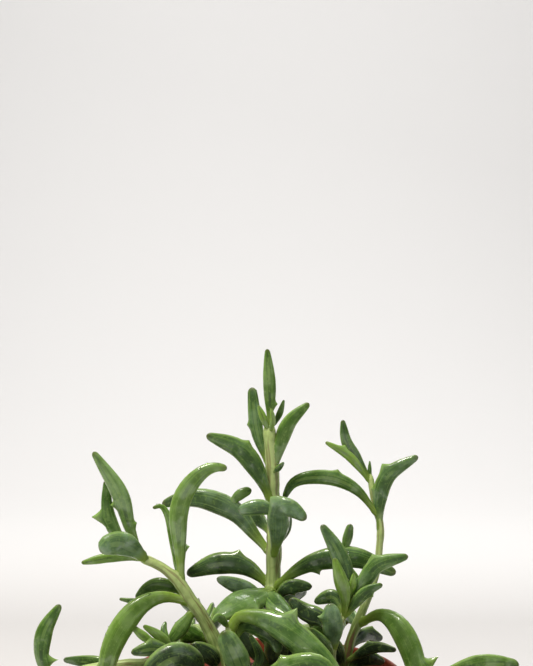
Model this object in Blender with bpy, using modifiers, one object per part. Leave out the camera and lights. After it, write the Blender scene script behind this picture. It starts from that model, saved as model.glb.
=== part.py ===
"""A potted string of dolphins, modelled for Blender 4.5.

The plant is a trailing succulent in a plain round pot. Each leafy stem is one solid, with its
leaves grown onto it, and stands in a plain hole in the potting mix. Sizes are in millimetres and
are turned to metres where a mesh is made. +Z is up, +X is the viewer's right and the viewer
stands on the -Y side. The origin is the middle of the pot's base.
"""

import math
from typing import NamedTuple

import bmesh
import bpy
from mathutils import Vector

MM = 0.001

# Pot: a round, tapered pot with a rim band and drainage holes
POT_HEIGHT = 88.0
RIM_RADIUS = 50.0
BASE_RADIUS = 36.0
WALL = 1.8
RIM_BAND = 9.0
RIM_STEP = 2.4
EDGE = 0.6
POT_STEPS = 36
DRAIN_HOLES = 6
DRAIN_RADIUS = 3.0
DRAIN_CIRCLE = 24.0

# Potting mix: fills the pot to a few millimetres below its rim, a little higher in the middle
GAP = 0.3
SOIL_EDGE = 81.0
SOIL_CROWN = 84.0
ROOT_DEPTH_Z = 65.0
CLEAR_OF_SOIL_Z = 86.0
HOLE_SIDES = 12

# Leaves and stems: how finely they are built
LEAF_SIDES = 6
LEAF_STATIONS = (0.0, 0.2, 0.42, 0.62, 0.78, 0.91)
FIN_FOOT = 1.8
FIN_SPREAD = 0.35
FIN_WIDEST = 0.12
LEAF_FLATNESS = 0.62
PETIOLE = 0.32
WIDEST = 0.55
POINTED_END = 0.32
BLUNT_END = 0.6
END_CURVE = 1.8
STATION_GAP = 0.06
STEM_STEP = 6.5
STEM_BEVEL = 1
CURVE_STEPS = 8

# Where the viewer's eye is, so that a piece keeps its place in the front view at any depth
EYE = Vector((0.5, -577.0, 253.0))

FRONT = (0.0, -1.0, 0.0)
UP = (0.0, -0.25, 1.0)
TILTED = (0.0, -0.6, 1.0)
LEFT = 1
RIGHT = -1


class Fin(NamedTuple):
    """A pointed fin on one margin: place along the leaf, margin, length and sweep to the tip."""

    at: float
    side: int
    length: float
    sweep: float = 0.4


class Leaf(NamedTuple):
    """A leaf from its foot on the stem to its tip, each point as across, depth, height."""

    path: tuple
    width: float
    fins: tuple = ()
    facing: tuple = FRONT
    blunt: bool = False


class Stem(NamedTuple):
    """A stem: where it stands in the soil, its thickness there and at its tip, and its way up."""

    foot: tuple
    thick: float
    thin: float
    path: tuple


CENTRE_STEM = Stem(
    (3, 2), 6.2, 4.0,
    ((3, 2, 96), (3, 2, 110), (3, 2, 125), (3.3, 2, 135), (3, 2, 150), (2.6, 1, 162), (1.8, 0, 171),
     (1.5, 0, 179)),
)
CENTRE_LEAVES = (
    Leaf(((1.6, 0, 177), (1.7, -1, 191), (0.8, -2, 205.8)), 4.6, (Fin(0.3, RIGHT, 1.2),)),
    Leaf(((2.2, 1, 177), (5, 3, 182), (6.8, 4, 187.5)), 2.3),
    Leaf(((1.4, 1, 163), (-2.8, 2, 176), (-4.7, 2, 192)), 4.9, (Fin(0.55, LEFT, 0.8),), FRONT, True),
    Leaf(((1.4, -1, 176), (-0.6, -3, 181), (-2.4, -4, 185.5)), 2.7),
    Leaf(((1.8, -1, 175), (2.8, -4, 180), (2.2, -5, 184.5)), 2.1),
    Leaf(((2.6, 0, 160), (6, -1, 173), (9.2, -2, 180), (15.8, -2, 186.3)), 5.6),
    Leaf(((2.4, 0, 150), (-3, -2, 162.2), (-9.5, -3, 170), (-21, -4, 174.8)), 7.4, (Fin(0.62, RIGHT, 1.2),)),
    Leaf(((2.6, -1, 161), (5, -2, 163), (6.8, -3, 165)), 2.0),
    Leaf(((2, 1, 157), (-3, 9, 163), (-11, 16, 168)), 5.0, (Fin(0.6, RIGHT, 2),)),
    Leaf(
        ((2.6, 3, 131), (-4, 5, 139), (-11, 6, 147.2), (-22, 7, 151.8), (-31, 8, 151.4), (-37, 8, 149.6)),
        8.0,
    ),
    Leaf(((-13, 6, 149), (-9.3, 5, 153), (-4.9, 5, 155.2)), 4.0, (), FRONT, True),
    Leaf(
        ((3.2, 0, 131), (4.8, -7, 140), (5.2, -12, 146.6), (8.6, -15, 148.6), (14.9, -17, 144.3)), 8.2,
        (Fin(0.7, LEFT, 2.5, 0.1),),
    ),
    Leaf(((6, -10, 146), (-1.5, -11, 148.7), (-9.6, -11, 147.4)), 5.8, (), FRONT, True),
    Leaf(((3, 3, 138), (-3, 13, 145), (-11, 24, 149)), 5.9, (Fin(0.6, RIGHT, 2.5),)),
    Leaf(((3.2, 3, 133), (7, 13, 141), (8, 24, 149)), 5.0, (Fin(0.6, LEFT, 1.8),)),
    Leaf(
        ((2.6, 2, 119.5), (-7, 3, 127), (-17, 4, 128.2), (-28.2, 5, 124.2)), 8.4,
        (Fin(0.45, RIGHT, 1.6, 0),),
    ),
    Leaf(
        ((3.6, 0, 119.5), (12, -3, 126), (21, -4, 129.6), (33, -5, 130.3), (47.2, -6, 124.5)), 8.2,
        (Fin(0.36, RIGHT, 1.8),),
    ),
    Leaf(((28, -5, 131), (29.6, -5, 137), (30.8, -6, 142.6)), 3.6, (), FRONT, True),
    Leaf(((2.5, 0, 113.5), (-7, -3, 118.8), (-17.4, -5, 122.8)), 6.2),
    Leaf(((3.2, 0, 115), (9, -4, 119.6), (17, -5, 119.8)), 5.6, (Fin(0.55, RIGHT, 1.2),)),
    Leaf(
        ((3, 1, 118.5), (-3, -9, 116), (-10, -17, 113), (-18.6, -23, 108.2)), 11.6,
        (Fin(0.55, LEFT, 1.4),), TILTED,
    ),
    Leaf(((2.8, 0.5, 117.5), (1.4, -6, 116.6), (4, -12, 113), (9.4, -18, 109)), 8.4, (), TILTED),
    Leaf(((3.4, 4, 112), (9, 14, 116), (15, 24, 118)), 6.4, (Fin(0.6, LEFT, 2.5),)),
    Leaf(((2.4, 4, 108), (-5, 14, 113), (-13, 22, 115)), 6.4, (Fin(0.6, RIGHT, 2.5),)),
    Leaf(((3, 4, 102), (2, 14, 108), (1, 24, 112)), 5.4, (Fin(0.6, LEFT, 2),), UP),
    Leaf(((3, 0, 89), (4.4, -8, 96), (2.4, -12, 103.5)), 8.4),
    Leaf(((3.6, 0, 88), (9, -6, 94), (13.5, -9, 101)), 8.0),
    Leaf(((2.2, -1, 89), (-3.4, -8, 95.5), (-9.8, -13, 105.4)), 5.4),
    Leaf(((2.4, 2, 96), (-3, 6, 104.5), (-9.5, 8, 108)), 4.6),
    Leaf(((3.6, 2, 91), (12, 6, 98), (19, 8, 99.5)), 8.0),
)

LEFT_STEM = Stem(
    (-15, -8), 5.8, 3.0,
    ((-16, -8, 90), (-18, -8, 99), (-22, -9, 107.5), (-27, -10, 115), (-31, -11, 121.3),
     (-36, -12, 126), (-41, -13, 128.8), (-45.5, -14, 130.3)),
)
LEFT_LEAVES = (
    Leaf(
        ((-44.4, -14, 130), (-48.6, -15, 141), (-52.4, -16, 154), (-61.6, -17, 168.8)), 6.0,
        (Fin(0.3, RIGHT, 0.9), Fin(0.5, LEFT, 1.6)),
    ),
    Leaf(
        ((-43, -12.5, 129.4), (-51.5, -10, 136), (-56.3, -9, 146), (-57.2, -9, 158.5)), 4.8,
        (Fin(0.62, LEFT, 3.6),),
    ),
    Leaf(
        ((-43, -14, 129.6), (-47.8, -18, 133.6), (-52.4, -21, 135.6), (-56.4, -23, 134.8),
         (-59.4, -24, 132.4)), 8.8, (), FRONT, True,
    ),
    Leaf(((-43, -12.5, 129.6), (-54, -14, 130.6), (-66.2, -15, 128.4)), 3.8),
    Leaf(
        ((-30, -11, 120), (-31, -12, 137.9), (-31.2, -13, 145), (-29.9, -14, 151.4), (-26.7, -15, 157.2),
         (-22.1, -15, 161.6), (-17.8, -15, 163.2), (-13.6, -15, 162.8)), 6.9,
    ),
    Leaf(
        ((-26, -10, 113.5), (-36, -13, 116), (-44.4, -15, 113.2), (-51, -17, 106), (-55.4, -18, 97.5),
         (-57.8, -18, 88), (-58.8, -18, 80)), 8.2, (Fin(0.84, RIGHT, 1.6),),
    ),
    Leaf(((-49, -16, 106), (-44.5, -17, 102), (-39.5, -18, 98.5)), 3.4),
    Leaf(
        ((-28, -9, 117), (-36.5, -8, 120.4), (-42, -7, 119), (-46.6, -6, 115.4)), 5.6
    ),
    Leaf(((-25.5, -9.5, 112), (-28.2, -11, 107.6), (-31.2, -12, 103.6), (-35, -14, 99)), 5.4),
    Leaf(((-31, -10, 121), (-31, 0, 132), (-30.5, 8, 143)), 5.0, (Fin(0.6, RIGHT, 1.4),)),
    Leaf(((-19, -7, 102), (-24, 3, 110), (-31, 12, 115)), 5.4, (Fin(0.6, RIGHT, 2),)),
    Leaf(((-16, -8, 88), (-20, -11, 94.5), (-27, -13, 98.5)), 7.0),
    Leaf(
        ((-29, -10, 118), (-31.8, -9, 130), (-33.3, -9, 139), (-34.8, -9, 145.2), (-37.2, -9, 149),
         (-40.4, -9, 148.4)), 3.4,
    ),
    Leaf(
        ((-24.5, -8.5, 110.6), (-31, -7, 114.6), (-38, -5, 115.6), (-45, -4, 114.2), (-52.6, -3, 115.2)),
        3.2,
    ),
)

RIGHT_STEM = Stem(
    (28, 10), 3.8, 2.0,
    ((28.5, 10, 90), (31, 10, 100), (34, 10, 108), (38, 10, 118), (40.5, 11, 127), (41.3, 11, 135),
     (41.5, 11, 142.5), (39.5, 11, 149), (38.5, 11, 155), (37.8, 11, 161)),
)
RIGHT_LEAVES = (
    Leaf(((38, 11, 157.5), (37.6, 11, 161.5), (37.6, 10, 165.5)), 1.5),
    Leaf(
        ((41.4, 11, 139), (41.2, 10, 151), (44.4, 9, 160.4), (54.9, 8, 167.2)), 6.2,
        (Fin(0.45, LEFT, 0.9), Fin(0.66, LEFT, 1.8)),
    ),
    Leaf(
        ((40.6, 10.5, 145.5), (33.5, 8, 154.5), (25, 7, 159), (16, 6, 159.5), (10, 6, 157.3), (6.8, 6, 152)),
        5.6, (Fin(0.5, RIGHT, 1, 0),),
    ),
    Leaf(((38.4, 11, 157.5), (32.6, 10, 166.8), (29.1, 9, 172.8), (27.8, 8, 180.3)), 4.4),
    Leaf(((38.2, 11, 157), (30.6, 8, 166.8), (21.7, 7, 172.3)), 3.4, (Fin(0.72, RIGHT, 1, 0),)),
    Leaf(
        ((34, 9.5, 106), (41, 4, 109.3), (47, -1, 106.4), (51.8, -5, 99), (55, -7, 89), (56.6, -8, 78)), 8.6,
        (Fin(0.77, LEFT, 5.2, -0.6),),
    ),
    Leaf(((30, 11, 97), (36, 17, 102), (42.5, 23, 100.5)), 5.6, (Fin(0.6, LEFT, 0.8),)),
    Leaf(((29, 9, 92), (39, 3, 97.3), (47.5, -2, 96.5)), 4.6, (Fin(0.55, LEFT, 0.8),)),
    Leaf(((34, 11, 105), (31, 20, 109), (28, 28, 111)), 5.6, (Fin(0.6, LEFT, 1.4),)),
    Leaf(((28.6, 9.5, 89.5), (25.4, 5, 96), (22.6, 3, 103)), 7.0),
    Leaf(((29, 10, 89), (36, 8, 93.4), (43.4, 7, 92)), 6.0),
)

YOUNG_STEM = Stem(
    (24, -14), 3.2, 1.6,
    ((24.2, -15, 86), (24.5, -16, 97), (26.8, -16, 104.5), (29.4, -16, 112), (31, -16, 118)),
)
YOUNG_LEAVES = (
    Leaf(
        ((28.8, -16, 109.5), (29.8, -17, 121), (26.4, -17.5, 132), (20.4, -18, 142.4)), 6.2,
        (Fin(0.5, LEFT, 0.8),),
    ),
    Leaf(((28.6, -16.5, 109), (28.8, -20, 116.5), (26.9, -22, 123.5), (25, -22.5, 130.2)), 5.0),
    Leaf(((30.6, -16, 115.6), (31.6, -19, 120.5), (32, -20, 124.6)), 2.8),
    Leaf(
        ((29.6, -16, 111), (33.2, -17, 116.6), (36.6, -18, 122.8), (41, -18, 128), (51.6, -19, 130.9)), 6.0,
        (Fin(0.64, LEFT, 1.4),),
    ),
    Leaf(((28.8, -16.5, 108.5), (36, -20, 117.4), (42.4, -21, 120.6)), 4.4, (Fin(0.7, RIGHT, 1),)),
    Leaf(((30, -15.5, 113.5), (33, -11, 120), (31, -10, 126.5)), 3.6),
    Leaf(
        ((24.9, -16, 97), (24.6, -22, 104), (23.6, -24, 113.6)), 7.4, (Fin(0.74, LEFT, 1.6, 0.7),), FRONT,
        True,
    ),
    Leaf(
        ((25.6, -15, 101), (20.5, -12, 107.8), (14.4, -10, 110.6), (8.8, -9, 115.3)), 7.0,
        (Fin(0.5, LEFT, 1.2),),
    ),
    Leaf(((28.4, -15, 109.5), (24.6, -12, 116), (17.8, -10, 114)), 5.4),
    Leaf(((24.8, -16, 92), (21.4, -22, 98.5), (16.4, -25, 104.4)), 4.6),
    Leaf(((24.3, -14, 89), (18.6, -11, 95), (15, -10, 101)), 7.4),
)

FRONT_STEM = Stem(
    (-9, -24), 3.8, 2.8,
    ((-9, -24, 80), (-9.5, -25, 90), (-11, -26, 98), (-13.5, -27.5, 106)),
)
FRONT_LEAVES = (
    Leaf(
        ((-12.8, -27, 103), (-9.4, -28, 108.6), (-1, -30, 108), (8, -33, 103.5), (16, -35, 97),
         (24, -37, 89), (27, -37, 82)), 9.8, (Fin(0.45, LEFT, 4.2, 0.2), Fin(0.62, RIGHT, 1.4)),
    ),
    Leaf(((-11.6, -26, 100), (-8, -26, 105), (-2, -27, 104.6), (3.4, -28, 100.5), (5, -29, 95)), 6.6),
    Leaf(((-9.6, -25.5, 84), (-9.5, -33, 91), (-15, -38, 103.5)), 8.8, (), FRONT, True),
    Leaf(((-9.3, -24.5, 84), (-2, -22, 93), (-5.5, -20, 102.5)), 3.2),
    Leaf(
        ((-9.2, -25, 79), (3, -37, 86), (12, -42, 90.5), (20, -44, 90.5), (27, -43, 82)), 9.0,
        (Fin(0.55, LEFT, 1.5),),
    ),
    Leaf(((-9.2, -24.5, 79), (-17, -36, 84), (-24, -45, 82)), 6.3, (Fin(0.6, LEFT, 2.5),)),
    Leaf(((-9, -24.5, 78), (-4, -40, 80), (2, -52, 76)), 6.3, (Fin(0.6, RIGHT, 2.5),), UP),
    Leaf(((-13.2, -27.3, 104.5), (-16.5, -31, 108.5), (-19, -34, 107)), 3.1),
)

FRONT_LEFT_STEM = Stem(
    (-22, -18), 3.4, 2.2,
    ((-23, -18, 80), (-27, -19, 88), (-31, -20, 93.5), (-34.5, -20, 98)),
)
FRONT_LEFT_LEAVES = (
    Leaf(
        ((-24, -19, 85.5), (-26, -27, 91.5), (-32, -32, 93.8), (-39, -34, 90), (-44.5, -35, 82)), 11.0,
        (Fin(0.6, LEFT, 2.5),),
    ),
    Leaf(((-31.5, -20, 94), (-37.5, -22, 101), (-44, -23, 105.5)), 3.8, (Fin(0.5, LEFT, 4, -0.4),)),
    Leaf(((-31, -20, 93), (-39, -23, 97), (-48.5, -25, 95.5)), 5.6, (Fin(0.6, RIGHT, 1.4),)),
    Leaf(((-25.5, -18.5, 85), (-36, -22, 86), (-47, -25, 82)), 5.9, (Fin(0.6, LEFT, 2.4),)),
    Leaf(((-34, -20, 97), (-36.5, -18, 103), (-36, -16, 107)), 2.7),
)

LEFT_TRAILER_STEM = Stem(
    (-31, -2), 3.6, 2.4,
    ((-33, -3, 87), (-38, -5, 91.5), (-46, -6, 91.6), (-57, -7, 90.8), (-68, -8, 88.5), (-76, -9, 84),
     (-80, -9, 76)),
)
LEFT_TRAILER_LEAVES = (
    Leaf(
        ((-76, -9, 83.5), (-80.6, -10, 92), (-79.8, -10, 103), (-74, -10, 113.2)), 6.1,
        (Fin(0.3, RIGHT, 3.8, 0),),
    ),
    Leaf(((-50, -6.4, 91.4), (-60, -3, 92), (-73, 1, 92.8)), 4.8, (Fin(0.6, LEFT, 1.2),)),
    Leaf(((-59, -7.2, 90.5), (-64, -15, 85), (-66, -22, 74)), 5.8, (Fin(0.6, RIGHT, 2.6),)),
    Leaf(((-64, -7.6, 89.5), (-70, 2, 85), (-73, 10, 76)), 5.8, (Fin(0.6, LEFT, 2.6),)),
    Leaf(((-71, -8.4, 87), (-73, -17, 80), (-77, -24, 73)), 5.8, (Fin(0.6, LEFT, 2.6),)),
    Leaf(((-79.6, -9, 78), (-84, -9, 68), (-81.5, -9, 57)), 5.6, (Fin(0.55, LEFT, 2.6),)),
    Leaf(((-79.4, -9, 78.5), (-76, -2, 72), (-72, 5, 66)), 5.0, (Fin(0.55, RIGHT, 2.4),)),
)

RIGHT_TRAILER_STEM = Stem(
    (33, -22), 3.6, 2.4,
    ((34, -22.5, 80), (39, -24, 85), (47, -25, 86), (56, -24, 86.4), (63, -22, 87), (68, -20, 86),
     (71, -18, 80)),
)
RIGHT_TRAILER_LEAVES = (
    Leaf(
        ((62.5, -22, 86.8), (71, -18, 90), (81, -16, 91.6), (92, -14, 90.6)), 6.8,
        (Fin(0.5, RIGHT, 1.6),), FRONT, True,
    ),
    Leaf(((54, -24, 86.4), (59, -33, 83), (61, -40, 74)), 5.9, (Fin(0.6, LEFT, 2.6),)),
    Leaf(((60, -23, 86.8), (68, -29, 82), (73, -33, 73)), 5.8, (Fin(0.6, LEFT, 2.6),)),
    Leaf(((49, -25, 86), (50, -34, 84), (47, -42, 78)), 5.6, (Fin(0.6, RIGHT, 2.4),)),
    Leaf(((70, -19, 82.5), (77, -18, 76), (79, -17, 66)), 5.6, (Fin(0.6, LEFT, 2.4),)),
    Leaf(((70.4, -18.6, 81.5), (68, -13, 73), (69, -8, 64)), 5.2, (Fin(0.6, RIGHT, 2.4),)),
)

# Stems that trail over the back of the rim, with leaves set round them by a rule. Their points
# are plain coordinates, because the front view doesn't show them.
BACK_LEFT_STEM = Stem(
    (-16, 20), 3.8, 2.2,
    ((-17, 24, 89), (-21, 34, 92.5), (-27, 46, 92.5), (-31.5, 54, 86), (-34, 58, 74), (-34, 59, 60),
     (-32, 59, 48)),
)
BACK_RIGHT_STEM = Stem(
    (12, 24), 3.8, 2.2,
    ((12.5, 28, 89), (14, 38, 92.5), (17, 50, 91.5), (19, 57, 83), (21, 60, 70), (24, 60, 57)),
)
TRAILING_LEAVES = 9
TRAILING_START = 0.34
TRAILING_LIFT = 0.2
TRAILING_LENGTH = 25.0
TRAILING_PHASE = 2.6
TRAILING_WIDTH = 7.2
TRAILING_FIN = 1.8
TURN = 137.5
TURN_SPREAD = 150.0


def seen(point):
    """Move a front-view point back to its depth along the line of sight."""
    across, depth, height = point
    reach = (depth - EYE.y) / -EYE.y
    return Vector((EYE.x + (across - EYE.x) * reach, depth, EYE.z + (height - EYE.z) * reach))


def smooth_line(points):
    """A Catmull-Rom line through the points, as a close run of points."""
    ends = [points[0] * 2 - points[1], *points, points[-1] * 2 - points[-2]]
    line = []
    for a, b, c, d in zip(ends, ends[1:], ends[2:], ends[3:]):
        for step in range(CURVE_STEPS):
            t = step / CURVE_STEPS
            bend = (2 * a - 5 * b + 4 * c - d) * t**2 + (3 * b - a - 3 * c + d) * t**3
            line.append(0.5 * (2 * b + (c - a) * t + bend))
    return [*line, points[-1]]


def along(line, share):
    """The point and the direction at a share of a line's length."""
    lengths = [0.0]
    for start, end in zip(line, line[1:]):
        lengths.append(lengths[-1] + (end - start).length)
    goal = share * lengths[-1]
    index = max(i for i in range(len(line) - 1) if lengths[i] <= goal)
    stretch = line[index + 1] - line[index]
    part = (goal - lengths[index]) / stretch.length
    return line[index] + stretch * part, stretch.normalized()


def leaf_width(share, blunt):
    """Width of a leaf along its length, as a share of its widest."""
    if share < WIDEST:
        rise = share / WIDEST
        return PETIOLE + (1 - PETIOLE) * rise * rise * (3 - 2 * rise)
    end = BLUNT_END if blunt else POINTED_END
    return 1 - (1 - end) * ((share - WIDEST) / (1 - WIDEST)) ** END_CURVE


def leaf_stations(fins, length):
    """Where a leaf's rings stand: its plain ones, and one at and beside each fin."""
    wanted = []
    for fin in fins:
        reach = min((FIN_FOOT + FIN_SPREAD * fin.length) / length, FIN_WIDEST)
        wanted += [fin.at - reach, fin.at, fin.at + reach]
    plain = [place for place in LEAF_STATIONS if all(abs(place - other) > STATION_GAP for other in wanted)]
    return sorted(plain + wanted)


def leaf_ring(leaf, points, share):
    """One ring of a leaf: a flattened hexagon whose side corners are drawn out into fins."""
    centre, ahead = along(points, share)
    side = Vector(leaf.facing).cross(ahead).normalized()
    face = ahead.cross(side)
    width = leaf.width * leaf_width(share, leaf.blunt)
    flatten = 1 - (1 - LEAF_FLATNESS) * min(1.0, share / 0.35)
    ring = []
    for corner in range(LEAF_SIDES):
        angle = 2 * math.pi * corner / LEAF_SIDES
        across, out = math.cos(angle) * width / 2, math.sin(angle) * width * flatten / 2
        ring.append(centre + side * across + face * out)
    for fin in leaf.fins:
        if abs(fin.at - share) < 1e-6:
            corner = 0 if fin.side == LEFT else LEAF_SIDES // 2
            ring[corner] += (side * fin.side + ahead * fin.sweep + face * 0.15) * fin.length
    return ring


def leaf_mesh(leaf, placed):
    """A closed leaf: rings joined from its foot to a pointed tip."""
    points = smooth_line(placed)
    length = sum((end - start).length for start, end in zip(points, points[1:]))
    mesh = bmesh.new()
    rings = [[mesh.verts.new(corner * MM) for corner in leaf_ring(leaf, points, share)]
             for share in leaf_stations(leaf.fins, length)]
    for low, high in zip(rings, rings[1:]):
        for i in range(LEAF_SIDES):
            j = (i + 1) % LEAF_SIDES
            mesh.faces.new((low[i], low[j], high[j], high[i]))
    tip = mesh.verts.new(points[-1] * MM)
    for i in range(LEAF_SIDES):
        mesh.faces.new((rings[-1][i], rings[-1][(i + 1) % LEAF_SIDES], tip))
    mesh.faces.new(reversed(rings[0]))
    bmesh.ops.recalc_face_normals(mesh, faces=mesh.faces)
    bmesh.ops.triangulate(mesh, faces=mesh.faces)
    data = bpy.data.meshes.new("leaf")
    mesh.to_mesh(data)
    mesh.free()
    return data


def add_object(name, data, collection):
    """Put new data in a collection as an object."""
    made = bpy.data.objects.new(name, data)
    collection.objects.link(made)
    return made


def stem_line(stem, place):
    """A stem's middle line, straight down in the soil and smooth above it."""
    x, y = stem.foot
    ground = [Vector((x, y, ROOT_DEPTH_Z)), Vector((x, y, CLEAR_OF_SOIL_Z))]
    above = smooth_line([ground[-1], *[place(point) for point in stem.path]])
    return [ground[0], *above]


def stem_object(name, stem, line, collection):
    """A round stem that thins towards its tip, as a mesh made from a bevelled curve."""
    total = sum((b - a).length for a, b in zip(line, line[1:]))
    rings = round(total / STEM_STEP)
    buried = (line[1] - line[0]).length / total
    shares = [0.0, buried] + [buried + (1 - buried) * i / rings for i in range(1, rings + 1)]
    curve = bpy.data.curves.new(name + "_line", "CURVE")
    curve.dimensions = "3D"
    curve.bevel_depth = stem.thick / 2 * MM
    curve.bevel_resolution = STEM_BEVEL
    curve.use_fill_caps = True
    spline = curve.splines.new("POLY")
    spline.points.add(len(shares) - 1)
    for point, share in zip(spline.points, shares):
        point.co = (*(along(line, min(share, 0.9999))[0] * MM), 1.0)
        thinning = max(0.0, share - buried) / (1 - buried)
        point.radius = 1 - (1 - stem.thin / stem.thick) * thinning
    guide = add_object(name + "_line", curve, collection)
    bpy.context.view_layer.update()
    mesh = bpy.data.meshes.new_from_object(guide.evaluated_get(bpy.context.evaluated_depsgraph_get()))
    bpy.data.objects.remove(guide)
    edit = bmesh.new()
    edit.from_mesh(mesh)
    bmesh.ops.remove_doubles(edit, verts=edit.verts, dist=0.00001)
    bmesh.ops.recalc_face_normals(edit, faces=edit.faces)
    edit.to_mesh(mesh)
    edit.free()
    return add_object(name, mesh, collection)


def apply_modifiers(made):
    """Replace an object's mesh with its evaluated one."""
    bpy.context.view_layer.update()
    mesh = bpy.data.meshes.new_from_object(made.evaluated_get(bpy.context.evaluated_depsgraph_get()))
    made.modifiers.clear()
    made.data = mesh


def leafy_stem(name, stem, leaves, collection, place=seen):
    """One solid: a stem with its leaves grown onto it by a Boolean union."""
    line = stem_line(stem, place)
    made = stem_object(name, stem, line, collection)
    blades = bpy.data.collections.new(name + "_leaves")
    bpy.context.scene.collection.children.link(blades)
    for leaf in leaves:
        add_object(name + "_leaf", leaf_mesh(leaf, [place(point) for point in leaf.path]), blades)
    union = made.modifiers.new("grown together", "BOOLEAN")
    union.operation = "UNION"
    union.operand_type = "COLLECTION"
    union.collection = blades
    union.solver = "MANIFOLD"
    apply_modifiers(made)
    for blade in list(blades.objects):
        bpy.data.objects.remove(blade)
    bpy.data.collections.remove(blades)
    made.data.shade_smooth()
    made.data.set_sharp_from_angle(angle=math.radians(40))
    return made


def as_given(point):
    """A point that is already in plain coordinates."""
    return Vector(point)


def trailing_leaves(stem):
    """Leaves set round a trailing stem by a fixed turn, on the side away from the pot."""
    line = stem_line(stem, as_given)
    leaves = []
    for i in range(TRAILING_LEAVES):
        base, ahead = along(line, TRAILING_START + (0.98 - TRAILING_START) * i / (TRAILING_LEAVES - 1))
        outward = Vector((base.x, base.y, 0)).normalized()
        sideways = outward.cross(Vector((0, 0, 1)))
        turn = math.radians((i * TURN) % TURN_SPREAD - TURN_SPREAD / 2)
        away = (outward * math.cos(turn) + sideways * math.sin(turn)).normalized()
        length = TRAILING_LENGTH * (0.82 + 0.18 * math.cos(i * 1.7 + TRAILING_PHASE))
        lift = TRAILING_LIFT if math.hypot(base.x, base.y) < RIM_RADIUS + WALL else 0.0
        middle = base + (away * 0.5 + Vector((0, 0, lift - 0.08)) + ahead * 0.1) * length
        tip = base + (away * 0.86 + Vector((0, 0, lift + 0.22)) + ahead * 0.1) * length
        facing = away.cross(Vector((0, 0, 1)))
        fin = Fin(0.6, LEFT if i % 2 else RIGHT, TRAILING_FIN)
        leaves.append(Leaf((base, middle, tip), TRAILING_WIDTH, (fin,), tuple(facing)))
    return leaves


def turned(name, profile, collection):
    """A turned solid: a profile of radius and height from the axis round to the axis again."""
    mesh = bpy.data.meshes.new(name)
    points = [(radius * MM, 0, height * MM) for radius, height in profile]
    mesh.from_pydata(points, [(i, i + 1) for i in range(len(points) - 1)], [])
    made = add_object(name, mesh, collection)
    screw = made.modifiers.new("turn", "SCREW")
    screw.steps = screw.render_steps = POT_STEPS
    screw.use_merge_vertices = True
    screw.merge_threshold = 0.00001
    return made


def cut_with(made, cutters):
    """Take every cutter in a collection away from an object."""
    cut = made.modifiers.new("holes", "BOOLEAN")
    cut.operation = "DIFFERENCE"
    cut.operand_type = "COLLECTION"
    cut.collection = cutters


def upright_cutter(name, x, y, radius, low, high, cutters):
    """A plain round cutter that stands upright."""
    mesh = bmesh.new()
    bmesh.ops.create_cone(
        mesh, cap_ends=True, segments=HOLE_SIDES, radius1=radius * MM, radius2=radius * MM,
        depth=(high - low) * MM,
    )
    data = bpy.data.meshes.new(name)
    mesh.to_mesh(data)
    mesh.free()
    made = add_object(name, data, cutters)
    made.location = (x * MM, y * MM, (low + high) / 2 * MM)
    made.display_type = "WIRE"
    made.hide_render = True


def inner_radius(height):
    """Radius of the pot's inside at a height."""
    return BASE_RADIUS - WALL + (RIM_RADIUS - RIM_STEP - BASE_RADIUS) * height / (POT_HEIGHT - RIM_BAND)


def build_pot(collection, cutters):
    """The pot: a thin tapered wall with a stepped rim band, a flat floor and drainage holes."""
    band = POT_HEIGHT - RIM_BAND
    lip = RIM_RADIUS - WALL
    profile = [
        (0, WALL), (inner_radius(WALL), WALL), (inner_radius(band), band), (lip, band + RIM_STEP),
        (lip, POT_HEIGHT - EDGE), (lip + EDGE, POT_HEIGHT), (RIM_RADIUS - EDGE, POT_HEIGHT),
        (RIM_RADIUS, POT_HEIGHT - EDGE), (RIM_RADIUS, band + EDGE), (RIM_RADIUS - EDGE, band),
        (RIM_RADIUS - RIM_STEP, band), (BASE_RADIUS + EDGE * 0.2, EDGE), (BASE_RADIUS - EDGE, 0), (0, 0),
    ]
    pot = turned("pot", profile, collection)
    for i in range(DRAIN_HOLES):
        angle = 2 * math.pi * i / DRAIN_HOLES
        x, y = DRAIN_CIRCLE * math.cos(angle), DRAIN_CIRCLE * math.sin(angle)
        upright_cutter(f"drain_{i}", x, y, DRAIN_RADIUS, -1, WALL + 1, cutters)
    cut_with(pot, cutters)
    return pot


def build_soil(stems, collection, cutters):
    """The potting mix: it fills the pot and has a plain hole for each stem."""
    floor = WALL + GAP
    band = POT_HEIGHT - RIM_BAND
    profile = [
        (0, SOIL_CROWN), (16, SOIL_CROWN - 0.3), (32, SOIL_CROWN - 1.3), (42, SOIL_EDGE + 0.6),
        (inner_radius(band) - GAP * 2, SOIL_EDGE - 1), (inner_radius(floor) - GAP * 1.5, floor), (0, floor),
    ]
    soil = turned("soil", profile, collection)
    for i, stem in enumerate(stems):
        radius = (stem.thick / 2 + GAP) / math.cos(math.pi / HOLE_SIDES)
        upright_cutter(f"stem_hole_{i}", *stem.foot, radius, ROOT_DEPTH_Z - GAP, CLEAR_OF_SOIL_Z, cutters)
    cut_with(soil, cutters)
    return soil


def dress(made, hex_colour, roughness):
    """Give an object its own plain material."""
    material = bpy.data.materials.new(made.name + "_material")
    material.use_nodes = True
    shader = material.node_tree.nodes["Principled BSDF"]
    channels = [int(hex_colour[i:i + 2], 16) / 255 for i in (0, 2, 4)]
    shader.inputs["Base Color"].default_value = (*[channel**2.2 for channel in channels], 1)
    shader.inputs["Roughness"].default_value = roughness
    shader.inputs["Metallic"].default_value = 0.0
    made.data.materials.clear()
    made.data.materials.append(material)


def new_collection(name):
    """A collection in the scene."""
    made = bpy.data.collections.new(name)
    bpy.context.scene.collection.children.link(made)
    return made


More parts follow.
